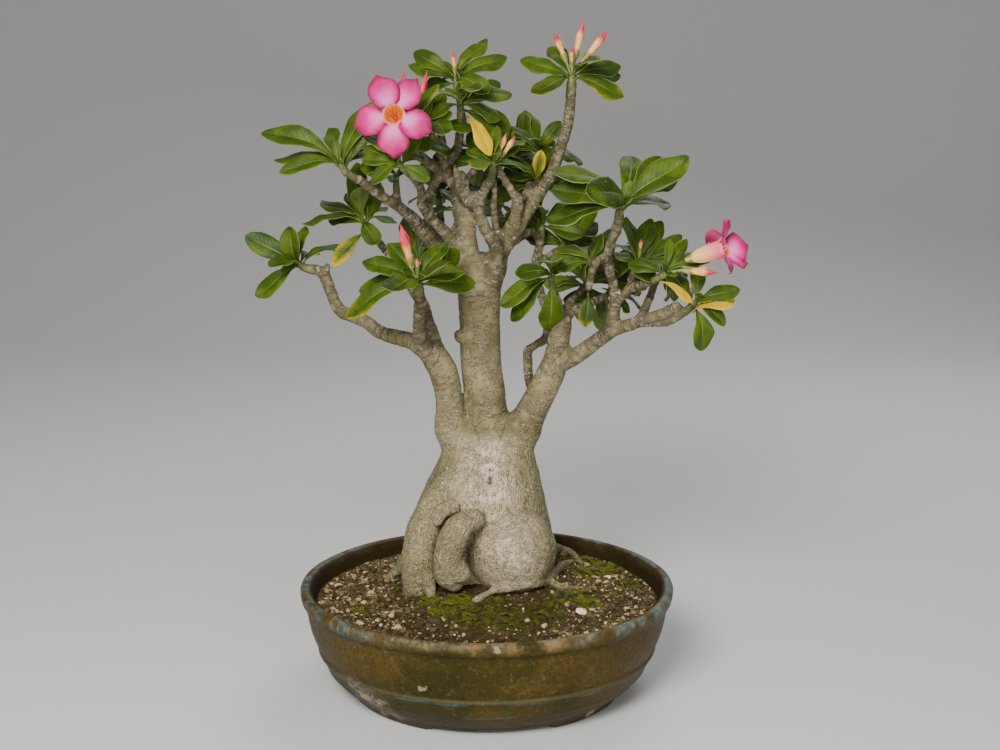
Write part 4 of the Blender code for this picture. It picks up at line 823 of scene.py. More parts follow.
def bark_material():
    """Grey-olive swollen base with pale wrinkles, olive-brown ringed trunks, green young tips."""
    shade = Shade("bark_detail", Specular_IOR_Level=0.25)
    low, tip, ring, scar, girth = (shade.value(name) for name in ("base", "tip", "ring", "scar", "girth"))
    x, y, z = shade.split(shade.place)
    across = [shade.times(part, LIMB_SQUEEZE) for part in (x, y)]
    limb_place = shade.node("ShaderNodeCombineXYZ", {0: across[0], 1: across[1], 2: shade.value("along")})
    upright, level = shade.stretched((1.0, 1.0, 0.34)), shade.stretched((0.60, 0.60, 1.0))
    upper = shade.ramp(shade.plus(z, shade.times(shade.noise(30, 2), 0.03)), 0.128, 0.150)

    def squiggles(scale, detail, distortion, width):
        """Short lines, upright on the upper base and level below."""
        above, below = (shade.contour(shade.noise(scale, detail, 0.5, vector, distortion), width)
                        for vector in (upright, level))
        return shade.plus(shade.times(above, upper), shade.times(below, shade.math("SUBTRACT", 1.0, upper)))

    broad, cloud = shade.noise(24, 4), shade.noise(75, 4, 0.6)
    fine, speck = shade.noise(260, 5, 0.65), shade.noise(700, 3, 0.7)
    squiggle = shade.masked(squiggles(310, 2, 1.2, 0.10), shade.noise(190, 2), 0.44, 0.56)
    # Crease lines: sunk in the bumps, and darkened in colour below as painted shade
    shaded_crease = squiggles(230, 3, 0.9, 0.045)
    wrinkle = shade.contour(shade.noise(480, 3, 0.5, limb_place, 0.6), 0.07)
    wrinkle = shade.masked(wrinkle, shade.noise(120, 2), 0.42, 0.56)
    bands = shade.noise(230, 3, 0.5, limb_place)

    # A random broad mottle of the limbs' tone, darker and lighter in patches
    mottle = shade.ramp(broad, 0.36, 0.64)
    twig = shade.mix(mottle, BARK["twig_dark"], BARK["twig_light"])
    trunk = shade.mix(mottle, BARK["trunk_dark"], BARK["trunk_light"])
    limb = shade.layers(shade.mix(girth, twig, trunk),
                        (shade.ramp(bands, 0.50, 0.66), 0.5, BARK["band"]),
                        (scar, 0.55, BARK["leaf_scar"]))
    limb = shade.mix(shade.masked(ring, girth, 1.5, -1.0), limb, BARK["ring"])
    limb = shade.layers(limb, (wrinkle, 0.65, BARK["wrinkle"]))

    base = shade.blend(broad, 0.35, 0.66, BARK["base_dark"], BARK["base_light"])
    # Painted shade: the base turns darker and more olive towards its sides, away from its lit middle
    flank_shade = shade.math("ABSOLUTE", shade.plus(x, 0.002))
    scars = shade.masked(front_patches(shade, BASE_SCARS, 0.1), cloud, 0.34, 0.54)
    base = shade.layers(base,
                        # partly the bark's own pale pinkish tone, partly painted light on the lit front
                        # middle
                        (front_patches(shade, PALE_LIT_CENTRE, 0.15), 0.55, BARK["centre"]),
                        (shade.ramp(cloud, 0.56, 0.34), 0.45, BARK["cloud"]),
                        # painted shade on the base's sides
                        (shade.ramp(flank_shade, 0.022, 0.054), 0.6, BARK["flank_shade"]),
                        # painted shade: the creases' dark colour stands in for the shadow inside them
                        (shaded_crease, 0.24, BARK["shaded_crease"]),
                        (squiggle, 0.52, BARK["squiggle"]),
                        (scars, 0.65, BARK["base_scar"]),
                        (front_patches(shade, WOUND, 0.35), 0.9, BARK["wound"]))

    green = shade.blend(fine, 0.4, 0.7, BARK["green_dark"], BARK["green_light"])
    bark = shade.layers(shade.mix(low, limb, base),
                        (tip, 0.9, green),
                        (shade.ramp(speck, 0.58, 0.72), 0.35, BARK["speck"]))
    above = shade.ramp(low, 0.5, 0.0)
    lines = shade.plus(shade.times(squiggle, low), shade.times(wrinkle, above))
    sunk = shade.times(shaded_crease, shade.times(low, -1.0))
    heights = ((cloud, 1.0), (sunk, 0.5), (lines, 1.8), (shade.times(bands, above), 0.8), (fine, 0.4))
    return shade.finish(bark, shade.ramp(fine, -1.0, 1.2), heights)


# A leaf's stalk: the share of the length it takes, and of the half width it has
STALK_END = 0.055
STALK_HALF = 0.09
# Over which share of the length the stalk's extra thickness fades, and that thickness in mm
STALK_FADE = 0.14
STALK_THICKNESS = 1.1
RIB_HEIGHT = 0.55
GROOVE_DEPTH = 0.16
# A third of the height of the waves along a leaf's edge, by its half width
EDGE_WAVE = 0.045
# A step along the leaf over which its direction is read
SPINE_STEP = 0.02


def leaf_half(t):
    """Share of a leaf's half width at t along it: stalk, widest past the middle, short point."""
    if t < STALK_END:
        return STALK_HALF
    s = (t - STALK_END) / (1 - STALK_END)
    body = max(0.0, math.sin(math.pi * min(s, 1.0) ** 1.5)) ** 0.72
    point = 0.05 * max(0.0, 1.0 - (1.0 - t) / 0.12)
    return max(0.085 * (1 - s), body, 0.012) + point * (1.0 if t < 0.999 else 0.0)


def add_leaf(shell, base, tip, width, up, draw, lift=0.14, fold=0.26, droop=0.06, roll=0.0, age=0.0, bow=0.0):
    """A folded, arched leaf with a stalk, a raised midrib and waved edges; width in mm."""
    length = (tip - base).length
    along = (tip - base).normalized()
    up = up - along * up.dot(along)
    if up.length < 0.15:
        up = Vector((0, 0, 1)) - along * along.z
    up.normalize()
    up = Matrix.Rotation(roll, 3, along) @ up
    side = along.cross(up)
    phase = draw.uniform(0, 2 * math.pi)
    waves = draw.uniform(1.6, 2.6)
    tone = draw.random()

    def spine(t):
        """Place on the leaf's middle line."""
        rise = lift * math.sin(math.pi * t ** 0.8) - droop * t ** 3 * (1 - t) * 4
        sway = bow * math.sin(math.pi * t)
        return base + along * (length * t) + up * (rise * length) + side * (sway * length)

    tops, unders = [], []
    for t in LEAF_LENGTH_SHARES:
        place = spine(t)
        heading = (spine(min(t + SPINE_STEP, 1.0)) - spine(max(t - SPINE_STEP, 0.0))).normalized()
        normal = side.cross(heading).normalized()
        half = leaf_half(t) * width / 2 * MM
        stalk = max(0.0, 1.0 - t / STALK_FADE)
        upper, lower = [], []
        for v in LEAF_WIDTH_SHARES:
            share = abs(v)
            rise = fold * half * share * (1 - 0.35 * t) - 0.22 * half * share ** 3
            turn = waves * 2 * math.pi * t + phase * (1 if v > 0 else 1.7)
            rise += EDGE_WAVE * half * math.sin(turn) * share ** 2 * 3
            thick = (LEAF_THICKNESS + STALK_THICKNESS * stalk) * MM * (1 - 0.35 * share)
            rib = (RIB_HEIGHT * (1 - t) if v == 0.0 else 0.0) * MM
            groove = (GROOVE_DEPTH if v == 0.0 else 0.0) * MM * (1 - t)
            spot = place + side * (half * v) + normal * rise
            uv = (0.5 + v / 2, t)
            upper.append(shell.point(spot + normal * (thick / 2 - groove), uv, under=0.0, age=age, tone=tone))
            lower.append(shell.point(spot - normal * (thick / 2 + rib), uv, under=1.0, age=age, tone=tone))
        tops.append(upper)
        unders.append(lower)
    shell.blade(tops, unders)


# The CAD's rule for leaves: least share of a leaf's length that leans by its tip's lean, and the first
# direction and the spread in degrees of the leaves that fill a spray's back
LEAST_LEAN = 0.25
FILL_START = 50
FILL_SPREAD = 80


def spray_tips(row):
    """The leaf tips of a spray as places, laid out as in the CAD source."""
    limb, base_row, length, fill, tips = row
    base = sight(*base_row)
    found = []
    for px, py, lean in tips:
        seen = (sight(px, py, base_row[2]) - base).length / MM
        depth = lean * math.sqrt(max(length ** 2 - seen ** 2, (LEAST_LEAN * length) ** 2))
        found.append(sight(px, py, base_row[2] + depth))
    draw = random.Random(sum(map(ord, limb)))
    for step in range(fill):
        turn = math.radians(FILL_START + FILL_SPREAD * (step + draw.random()) / max(fill, 1))
        reach = length * draw.uniform(0.8, 0.95) * MM
        heading = Vector((math.cos(turn), math.sin(turn), draw.uniform(0.0, 0.45))).normalized()
        found.append(base + heading * reach)
    return base, found


# Ranges from which a leaf's look is drawn where LEAF_LOOKS gives none
LOOK_RANGES = {"lift": (0.08, 0.20), "fold": (0.22, 0.62), "droop": (0.03, 0.20), "roll": (-0.3, 0.3),
               "bow": (-0.05, 0.05)}
# What a leaf is wider than its share of the length, mm
LEAF_EXTRA = 2.0
BACK_LEAF_COUNT = 3
# How strongly leaves in front and at the back face the viewer
FRONT_FACING = 0.85
BACK_FACING = 0.2
# How far from the twig's axis a leaf's stalk starts, mm
STALK_OFFSET = 1.4


def build_spray(name, row, mat):
    """A rosette of full leaves with a few young ones in its heart."""
    draw = random.Random(name)
    base, tips = spray_tips(row)
    size = row[2]
    axis = (base - sight(*LIMBS[row[0]][-1][:3])).normalized()
    facing = FRONT_FACING if row[1][2] < BACK_DEPTH else BACK_FACING
    outward = axis * 0.4 + Vector((0, -facing, 0.55))
    shell = Shell()
    for index, tip in enumerate(tips):
        look = dict(LEAF_LOOKS.get(name, {}).get(index, {}))
        width = (tip - base).length / MM * LEAF_WIDTH_RATIO + LEAF_EXTRA
        width *= look.pop("wide", 1.0)
        foot = base + (tip - base).normalized() * STALK_OFFSET * MM - axis * draw.uniform(0.0, 2.5) * MM
        for key, ends in LOOK_RANGES.items():
            look.setdefault(key, draw.uniform(*ends))
        add_leaf(shell, foot, tip, width, outward, draw, **look)
    for _ in range(BACK_LEAVES.get(name, BACK_LEAF_COUNT)):
        turn = draw.uniform(-0.2, 1.2) * math.pi
        heading = Vector((math.cos(turn), draw.uniform(0.1, 0.8), 0.8 * math.sin(turn))).normalized()
        reach = size * draw.uniform(0.62, 0.95)
        foot = base - axis * draw.uniform(2.0, 6.0) * MM
        tip = base + heading * reach * MM
        if abs(tip.x) > SIDE_REACH:
            continue
        up = Vector((draw.uniform(-0.4, 0.4), -0.7, 0.6))
        add_leaf(shell, foot, tip, reach * LEAF_WIDTH_RATIO + LEAF_EXTRA, up, draw,
                 lift=draw.uniform(0.08, 0.2), droop=draw.uniform(0.0, 0.12), roll=draw.uniform(-0.5, 0.5))
    for _ in range(YOUNG_LEAVES):
        turn = draw.uniform(0, 2 * math.pi)
        spread = Matrix.Rotation(turn, 3, axis) @ axis.orthogonal().normalized()
        heading = (axis * draw.uniform(0.6, 1.3) + spread * 0.8).normalized()
        reach = size * draw.uniform(0.2, 0.36)
        add_leaf(shell, base, base + heading * reach * MM, reach * 0.34 + 1.0, outward, draw)
    dress(shell.build(name + "_full"), mat, "leaf_green", name)


# Colours of the leaves
LEAF = {"deep": (0.014, 0.036, 0.001), "middle": (0.038, 0.072, 0.001), "fresh": (0.070, 0.112, 0.003),
        "vein": (0.17, 0.25, 0.045), "under": (0.16, 0.22, 0.05), "amber": (0.52, 0.29, 0.0),
        "yellow": (0.56, 0.40, 0.003), "rib": (0.28, 0.36, 0.10), "edge": (0.34, 0.38, 0.09),
        "blemish": (0.16, 0.10, 0.04)}


def leaf_material():
    """Glossy green with a pale midrib and side veins, a thin pale edge, lighter beneath, yellow with age."""
    shade = Shade("leaf_detail", IOR=1.42, Specular_IOR_Level=0.28)
    across, along = shade.blade()
    out = shade.beside(across)
    under, age, tone = (shade.value(name) for name in ("under", "age", "tone"))
    blotch, fine = shade.noise(70, 3), shade.noise(420, 4, 0.6)
    slope = shade.math("SUBTRACT", along, shade.times(out, 0.16))
    vein = shade.masked(shade.stripes(shade.times(slope, 13.0), 0.07), out, 1.0, 0.55)
    rib = shade.masked(shade.ramp(out, 0.065, 0.02), along, 1.0, 0.2)
    ripe = shade.plus(shade.times(age, 1.7), shade.times(out, 0.22))
    ripe = shade.plus(ripe, shade.times(along, 0.34))
    ripe = shade.plus(ripe, shade.times(blotch, 0.5))
    ripe = shade.masked(shade.ramp(ripe, 0.85, 1.25), age, 0.02, 0.12)

    deep = shade.mix(tone, LEAF["deep"], LEAF["middle"])
    green = shade.blend(blotch, 0.38, 0.72, deep, LEAF["fresh"])
    green = shade.layers(green, (vein, 0.28, LEAF["vein"]))
    green = shade.mix(under, green, shade.mix(0.5, green, LEAF["under"]))
    yellow = shade.blend(fine, 0.3, 0.7, LEAF["amber"], LEAF["yellow"])
    leaf = shade.layers(shade.mix(ripe, green, yellow),
                        (rib, 0.5, LEAF["rib"]),
                        (shade.ramp(out, 0.945, 1.0), 0.55, LEAF["edge"]),
                        (shade.ramp(shade.noise(130, 2), 0.72, 0.78), 0.7, LEAF["blemish"]))
    rough = shade.plus(shade.times(under, 0.15), shade.ramp(fine, -1.3, 2.2))
    return shade.finish(leaf, rough, ((shade.times(vein, -1.0), 0.25), (fine, 0.08)))


PETAL_LENGTH_SHARES = (0.0, 0.1, 0.22, 0.35, 0.5, 0.64, 0.77, 0.88, 0.96, 1.0)
PETAL_WIDTH_SHARES = (-1.0, -0.8, -0.5, -0.2, 0.0, 0.2, 0.5, 0.8, 1.0)
PETAL_THICKNESS = 0.45
PETAL_CUP = 0.10
# How far from the mouth's centre a petal starts, mm
PETAL_ROOT = 6.6


def add_petal(shell, root, tip, axis, width, draw):
    """A broad petal with a waved margin, one edge lifted over its neighbour."""
    length = (tip - root).length
    along = (tip - root).normalized()
    up = (axis - along * axis.dot(along)).normalized()
    side = along.cross(up)
    phase = draw.uniform(0, 2 * math.pi)
    ring = PETAL_ROOT * MM
    tops, unders = [], []
    for t in PETAL_LENGTH_SHARES:
        half = width / 2 * MM * max(0.44 * (1 - t), math.sin(math.pi * min(t, 0.999) ** 1.15) ** 0.55)
        upper, lower = [], []
        for v in PETAL_WIDTH_SHARES:
            wave = math.sin(phase + 7.0 * t + 3.0 * v) * 0.05 * abs(v)
            wave += math.sin(phase * 2 + 15 * t) * 0.03 * v
            rise = PETAL_CUP * math.sin(math.pi * t) + 0.12 * v * t - 0.10 * v * v * t - 0.05 * t * t
            blunt = 1.0 - 0.10 * v * v * t
            across = min(abs(half * v), ring)
            back = (ring - math.sqrt(ring * ring - across * across)) * (1 - t) ** 3
            spot = root + along * (length * t * blunt - back) + side * (half * v)
            spot += up * ((rise + wave) * length)
            uv = (0.5 + v / 2, t)
            upper.append(shell.point(spot + up * PETAL_THICKNESS / 2 * MM, uv, throat=0.0, outer=0.0))
            lower.append(shell.point(spot - up * PETAL_THICKNESS / 2 * MM, uv, throat=0.0, outer=1.0))
        tops.append(upper)
        unders.append(lower)
    shell.blade(tops, unders)


def turned_ring(shell, foot, axis, rise, radius, sides, along, swell, **values):
    """A ring of points round an axis, its radius in mm times what swell says at each angle."""
    first = axis.orthogonal().normalized()
    second = axis.cross(first)
    ring = []
    for side, angle in enumerate(round_steps(sides)):
        offset = (first * math.cos(angle) + second * math.sin(angle)) * radius * swell(angle)
        ring.append(shell.point(foot + (offset + rise) * MM, (side / sides, along), **values))
    return ring


def five_round(axis, shift):
    """Five directions square to an axis, evenly round it from shift radians on."""
    first = axis.orthogonal().normalized()
    return [Matrix.Rotation(angle + shift, 3, axis) @ first for angle in round_steps(5)]


def add_sepals(shell, foot, axis, length, width, spread):
    """Five narrow pointed sepals round the foot of a bud or bloom."""
    draw = random.Random(5)
    for out in five_round(axis, 0.3):
        tip = foot + (axis + out * spread) * length * MM
        add_leaf(shell, foot + out * 0.6 * MM, tip, width, out, draw, lift=0.12, fold=0.2, droop=0.0)


# A bloom's funnel from its foot to the bottom of its throat: (radius mm, share of the length,
# mm added to that, along share for the colour, throat share)
FUNNEL = [(1.6, 0.0, 0.0, 0.0, 0.0), (1.9, 0.08, 0.0, 0.08, 0.0), (3.4, 0.20, 0.0, 0.2, 0.0),
          (5.0, 0.34, 0.0, 0.34, 0.0), (5.7, 0.5, 0.0, 0.5, 0.0), (6.0, 0.7, 0.0, 0.7, 0.0),
          (6.5, 0.9, 0.0, 0.9, 0.0), (7.9, 1.0, 0.0, 1.0, 0.0), (7.3, 1.0, 0.1, 1.0, 0.1),
          (6.6, 1.0, -0.5, 1.0, 0.5), (5.7, 1.0, -4.5, 0.8, 0.8), (4.2, 1.0, -9.0, 0.6, 1.0),
          (0.3, 1.0, -11.0, 0.5, 1.0)]
FUNNEL_SIDES = 40
FUNNEL_FLUTES = 0.035
# A stamen's feathery tip: (mm beyond the mouth, mm off the axis, thickness mm)
STAMEN = ((-8.0, 1.2, 1.0), (-1.5, 2.2, 0.9), (1.2, 1.0, 0.5))
STAMEN_SIDES = 8
# Spacing of the rings of thin threads and stalks, metres
THREAD_STEP = 0.001
# How strongly the orange throat shows, where other than fully
THROAT_SHARE = {"bloom_right": 0.12}


def build_bloom(name, row, mat, calyx):
    """A funnel with an open streaked throat, five overlapping petals and the stamens' feathery tips."""
    foot_row, mouth_row, width, tips = row
    draw = random.Random(name)
    foot, mouth = sight(*foot_row), sight(*mouth_row)
    axis = (mouth - foot).normalized()
    length = (mouth - foot).length / MM
    share = THROAT_SHARE.get(name, 1.0)
    shell = Shell()
    shell.skin([turned_ring(shell, foot, axis, axis * (length * part + more), radius, FUNNEL_SIDES, along,
                            lambda angle: 1.0 + FUNNEL_FLUTES * math.cos(5 * angle),
                            throat=throat * share, outer=1.0, tube=1.0)
                for radius, part, more, along, throat in FUNNEL])
    for tip_row in tips:
        tip = sight(*tip_row)
        spread = tip - mouth
        spread -= axis * spread.dot(axis)
        root = mouth + spread.normalized() * PETAL_ROOT * MM - axis * 0.6 * MM
        add_petal(shell, root, tip, axis, width, draw)
    for out in five_round(axis, math.pi / 5):
        thread = [mouth + axis * beyond * MM + out * off * MM for beyond, off, _ in STAMEN]
        start = len(shell.verts)
        add_tube(shell, smooth_path(thread, [thick for _, _, thick in STAMEN], THREAD_STEP), STAMEN_SIDES)
        for index in range(start, len(shell.verts)):
            shell.values["throat"][index] = 0.9 * share
    dress(shell.build(name + "_full"), mat, "petal_pink", name)
    cup = Shell()
    add_sepals(cup, foot - axis * 0.5 * MM, axis, length=9.0, width=2.6, spread=0.32)
    dress(cup.build(name + "_sepals"), calyx, "leaf_green")


# Share of a bud's length where its magenta tip starts, where other than the common one
BUD_BLUSH = {"bud_front_left": 0.50, "bud_bloom_arm_a": 0.25, "bud_bloom_arm_b": 0.35, "bud_main_arm_a": 0.80,
             "bud_main_arm_b": 0.74}
COMMON_BLUSH = 0.66
BUD_SIDES = 24
BUD_STEPS = 24
# Share of its length where a bud is widest
BUD_WAIST = 0.6
STALK_SIDES = 12


def build_bud(name, row, mat, calyx):
    """A furled bud: a twisted spindle with spiral seams, in a cup of pointed sepals on a stalk."""
    root, tip, girth = row
    low, high = sight(*root), sight(*tip)
    axis = (high - low).normalized()
    length = (high - low).length / MM
    blush = BUD_BLUSH.get(name, COMMON_BLUSH)
    shell = Shell()
    rings = []
    for step in range(BUD_STEPS + 1):
        t = step / BUD_STEPS
        swell = 0.42 + 0.58 * (t / BUD_WAIST) ** 1.6
        if t >= BUD_WAIST:
            swell = 1.0 - 0.96 * ((t - BUD_WAIST) / (1 - BUD_WAIST)) ** 1.35
        radius = max(girth / 2 * swell, 0.2)
        rings.append(turned_ring(shell, low, axis, axis * length * t, radius, BUD_SIDES, t,
                                 lambda angle: 1.0 + 0.07 * math.sin(5 * angle + 7.5 * t) * min(t * 2, 1.0),
                                 blush=blush))
    shell.skin(rings)
    dress(shell.build(name + "_full"), mat, "bud_pink", name)
    cup = Shell()
    foot = min((sight(*spray[1]) for spray in SPRAYS.values()), key=lambda place: (place - low).length)
    stalk = [foot, low - axis * 2.0 * MM, low + axis * 1.0 * MM]
    add_tube(cup, smooth_path(stalk, [2.2, 2.0, girth * 0.4], THREAD_STEP), STALK_SIDES)
    add_sepals(cup, low, axis, length=min(length * 0.3, 9.0), width=max(girth * 0.34, 1.4), spread=0.28)
    dress(cup.build(name + "_stalk"), calyx, "leaf_green")


# Colours of the open flowers
PETAL = {"inner": (0.66, 0.060, 0.32), "middle": (0.47, 0.001, 0.155), "margin": (0.28, 0.0, 0.052),
         "bloom": (0.85, 0.20, 0.42), "pale": (0.84, 0.34, 0.62), "line": (0.50, 0.02, 0.16),
         "core": (0.90, 0.34, 0.16), "tube_foot": (0.82, 0.54, 0.16), "tube_mouth": (0.80, 0.12, 0.20),
         "back": (0.66, 0.06, 0.20), "throat": (0.80, 0.23, 0.010), "streak": (0.52, 0.050, 0.008),
         "throat_rim": (0.80, 0.20, 0.10), "throat_heart": (0.50, 0.085, 0.006)}


def petal_material():
    """Pink petals, paler towards the throat, with a magenta margin; orange streaked throat; cream tube."""
    shade = Shade("petal_detail", Roughness=0.6, Sheen_Weight=0.06, Specular_IOR_Level=0.2)
    across, along = shade.blade()
    out = shade.beside(across)
    throat, outer, tube = (shade.value(name) for name in ("throat", "outer", "tube"))
    fine = shade.noise(260, 3)
    margin = shade.math("MAXIMUM", shade.times(out, 0.92), along)
    pink = shade.blend(margin, 0.25, 0.72, PETAL["inner"], PETAL["middle"])
    pink = shade.blend(margin, 0.58, 0.96, pink, PETAL["margin"])
    pale = shade.masked(shade.ramp(along, 0.62, 0.10), out, 0.9, 0.2)
    pink = shade.layers(pink, (shade.ramp(fine, 0.35, 0.7), 0.08, PETAL["bloom"]),
                        (pale, 0.5, PETAL["pale"]))
    lines = shade.times(shade.stripes(shade.times(across, 9.0), 0.10), 0.22)
    pink = shade.mix(lines, pink, PETAL["line"])
    core = shade.blend(along, 0.10, 0.0, pink, PETAL["core"])
    cream = shade.blend(along, 0.20, 0.95, PETAL["tube_foot"], PETAL["tube_mouth"])
    outside = shade.mix(0.3, core, PETAL["back"])
    streak = shade.stripes(shade.times(across, 15.0), 0.12, 0.03)
    orange = shade.mix(streak, PETAL["throat"], PETAL["streak"])
    orange = shade.blend(throat, 0.45, 0.05, orange, PETAL["throat_rim"])
    orange = shade.layers(orange, (shade.ramp(throat, 0.6, 1.0), 0.7, PETAL["throat_heart"]))
    face = shade.mix(tube, shade.mix(outer, core, outside), cream)
    face = shade.blend(throat, 0.02, 0.30, face, orange)
    return shade.finish(face, None, ((shade.times(lines, -1.0), 0.3), (fine, 0.12)))


# Colours of the buds
BUD = {"foot": (0.42, 0.44, 0.06), "cream": (0.76, 0.48, 0.11), "flush": (0.76, 0.25, 0.10),
       "tip": (0.54, 0.004, 0.042), "seam": (0.66, 0.05, 0.10), "bloom": (0.90, 0.45, 0.33)}


def bud_material():
    """Cream at the foot, pink above, magenta at the tip, with darker spiral seams."""
    shade = Shade("bud_detail", Roughness=0.45)
    across, along = shade.blade()
    seam = shade.stripes(shade.plus(shade.times(across, 5.0), shade.times(along, 1.2)), 0.10)
    fine = shade.noise(320, 3)
    past = shade.math("SUBTRACT", along, shade.value("blush"))
    past = shade.plus(past, shade.times(seam, 0.05))
    rise = shade.ramp(past, -0.30, 0.0)
    colour = shade.blend(along, 0.05, 0.4, BUD["foot"], BUD["cream"])
    colour = shade.layers(colour, (rise, 0.5, BUD["flush"]))
    colour = shade.blend(past, -0.06, 0.12, colour, BUD["tip"])
    seam = shade.times(seam, rise)
    colour = shade.layers(colour, (seam, 0.6, BUD["seam"]),
                          (shade.ramp(fine, 0.4, 0.7), 0.15, BUD["bloom"]))
    return shade.finish(colour, None, ((shade.times(seam, -1.0), 0.3), (fine, 0.08)))


# Colours of the stalks and sepals
CALYX = {"dark": (0.13, 0.19, 0.035), "light": (0.27, 0.30, 0.09), "tip": (0.36, 0.10, 0.05)}


def calyx_material():
    """Fresh green stalks and sepals with reddish tips."""
    shade = Shade("calyx_detail", Roughness=0.5)
    along = shade.blade()[1]
    fine = shade.noise(260, 3)
    colour = shade.blend(fine, 0.35, 0.7, CALYX["dark"], CALYX["light"])
    colour = shade.layers(colour, (shade.ramp(along, 0.3, 1.0), 0.75, CALYX["tip"]))
    return shade.finish(colour, None, ((fine, 0.15),))


POT_SIDES = 160
# The pot's outline from the lip's inner edge outwards and down: (mm inside the rim, mm below the top)
LIP_PROFILE = [(RIM_WIDTH - 1.6, 0.6), (RIM_WIDTH - 3.2, 0), (2.6, 0), (0.8, 0.9), (0, 2.6), (0.2, 5.5),
               (0.9, LIP_HEIGHT - 1.4), (2.4, LIP_HEIGHT), (4.3, LIP_HEIGHT + 1.2)]
# Then its wall with the throwing line: (mm inside the rim, height)
WALL_PROFILE = [(4.6, 64), (5.5, 58), (7.2, 50), (10, 42), (12.6, 36.2), (13.6, 34.6), (12.7, 33.6),
                (12.6, 32.4), (13.6, 31.2), (15.6, 28), (19.4, 20.6), (19.6, 19.4), (21.4, 18.2), (25, 13.4)]
# And its foot ring: (mm beyond the foot's radius, height)
FOOT_PROFILE = [(8, 9), (5.6, 7.2), (4.2, 6.4), (3.4, 5.0), (1.9, 3), (0.7, 1), (-0.6, 0),
                (1 - FOOT_WIDTH, 0), (-1.6 - FOOT_WIDTH, FOOT_HEIGHT - 0.4), (-4 - FOOT_WIDTH, FOOT_HEIGHT)]
# The thrown wall's unevenness: (scale round it, scale up it, mm), and how far inside the CAD's it lies
WOBBLES = ((1.7, 0.02, 0.45), (9.0, 0.09, 0.16))
WALL_INSET = 0.3
# Heights in mm between which the throwing line rises and falls
LINE_ZONE = (28, 38)
# Over how many mm a gap between feet rises
GAP_SLOPE = 6

# Places on the glaze as pixels of the photograph, with their radius in mm
TEAL_PATCHES = [(308, 582, 12), (313, 600, 10), (370, 625, 9), (322, 612, 8), (640, 610, 16), (600, 628, 10),
                (662, 592, 12), (400, 634, 7), (668, 575, 8), (336, 612, 6)]
TAN_PATCHES = [(440, 641, 10), (480, 645, 12), (520, 645, 12), (555, 642, 10), (330, 618, 7)]
CHIPS = [(422, 689, 6.0), (366, 698, 9.0), (590, 712, 8.0), (384, 713, 7.0), (497, 650, 4.0), (614, 703, 5.0),
         (350, 684, 5.0)]
WORN_PATCHES = [(358, 690, 15), (376, 703, 15), (396, 716, 10), (610, 706, 12)]


def on_surface(tree, px, py):
    """Place in mm where the sight line through a pixel meets a surface, or on its edge beside it."""
    middle = sight(px, py, 0.0)
    found = tree.ray_cast(EYE * MM, middle - EYE * MM)[0] or tree.find_nearest(middle)[0]
    return found / MM


def foot_gap(angle):
    """1 in the gaps between the pot's three feet, 0 on the feet."""
    turns = [(math.degrees(angle) - FOOT_GAP_ANGLE - 120 * k + 180) % 360 - 180 for k in range(3)]
    across = math.tan(math.radians(min(*map(abs, turns), 60))) * FOOT_RADIUS
    return clamp((FOOT_GAP_WIDTH / 2 + GAP_SLOPE / 2 - across) / GAP_SLOPE)


def pot_place(direction, radius, height, gap):
    """Place in metres on the pot, which is thrown by hand and never quite round."""
    wobble = 0.0
    for scale, climb, size in WOBBLES:
        wobble += noise.noise(direction * scale + Vector((0, 0, height * climb))) * size
    if height >= POT_HEIGHT - 0.7 or height < 1:
        wobble *= 0.5
    shift = 0.0
    if LINE_ZONE[0] < height < LINE_ZONE[1]:
        shift = noise.noise(direction * 2.4 + Vector((3, 1, 0))) * 0.5
    lift = height + max(FOOT_HEIGHT - height, 0.0) * gap
    return direction * (radius + wobble - WALL_INSET) * MM + Vector((0, 0, (lift + shift) * MM))


def build_pot():
    """Thrown stoneware pot: rolled lip, raised throwing line, foot ring cut into three feet."""
    profile = [(RIM_RADIUS - inside, POT_HEIGHT - below) for inside, below in LIP_PROFILE]
    profile += [(RIM_RADIUS - inside, height) for inside, height in WALL_PROFILE]
    profile += [(FOOT_RADIUS + beyond, height) for beyond, height in FOOT_PROFILE]
    profile += [(DRAIN_RADIUS, FOOT_HEIGHT), (DRAIN_RADIUS, FLOOR_TOP)] + INNER_WALL[:-1]
    profile += [(RIM_RADIUS - RIM_WIDTH - 0.6, POT_HEIGHT - 6), (RIM_RADIUS - RIM_WIDTH, POT_HEIGHT - 2)]
    shell = Shell()
    sides = []
    for angle in round_steps(POT_SIDES):
        direction = Vector((math.cos(angle), math.sin(angle), 0.0))
        gap = foot_gap(angle)
        sides.append([shell.point(pot_place(direction, *row, gap)) for row in profile])
    rings = [list(reversed(ring)) for ring in zip(*sides)]
    shell.grid(rings + rings[:1], closed=True)
    pot = shell.build("pot_thrown")
    tree = BVHTree.FromPolygons(shell.verts, shell.faces)
    dress(pot, glaze_material(tree), "glaze", "pot")


# Colours of the glaze; the inside colour is painted shade
GLAZE = {"olive": (0.030, 0.026, 0.004), "brown": (0.074, 0.046, 0.008), "amber": (0.112, 0.074, 0.018),
         "run": (0.030, 0.038, 0.010), "pit": (0.018, 0.014, 0.004), "fleck": (0.17, 0.125, 0.050),
         "speck": (0.022, 0.014, 0.008), "foot": (0.045, 0.040, 0.022), "worn_dark": (0.078, 0.060, 0.028),
         "worn_light": (0.205, 0.160, 0.088), "tan": (0.25, 0.145, 0.055), "grey": (0.26, 0.215, 0.185),
         "inside": (0.020, 0.014, 0.006), "teal_dark": (0.018, 0.075, 0.088),
         "teal_light": (0.070, 0.20, 0.225), "line": (0.075, 0.075, 0.045), "clay": (0.28, 0.21, 0.13)}


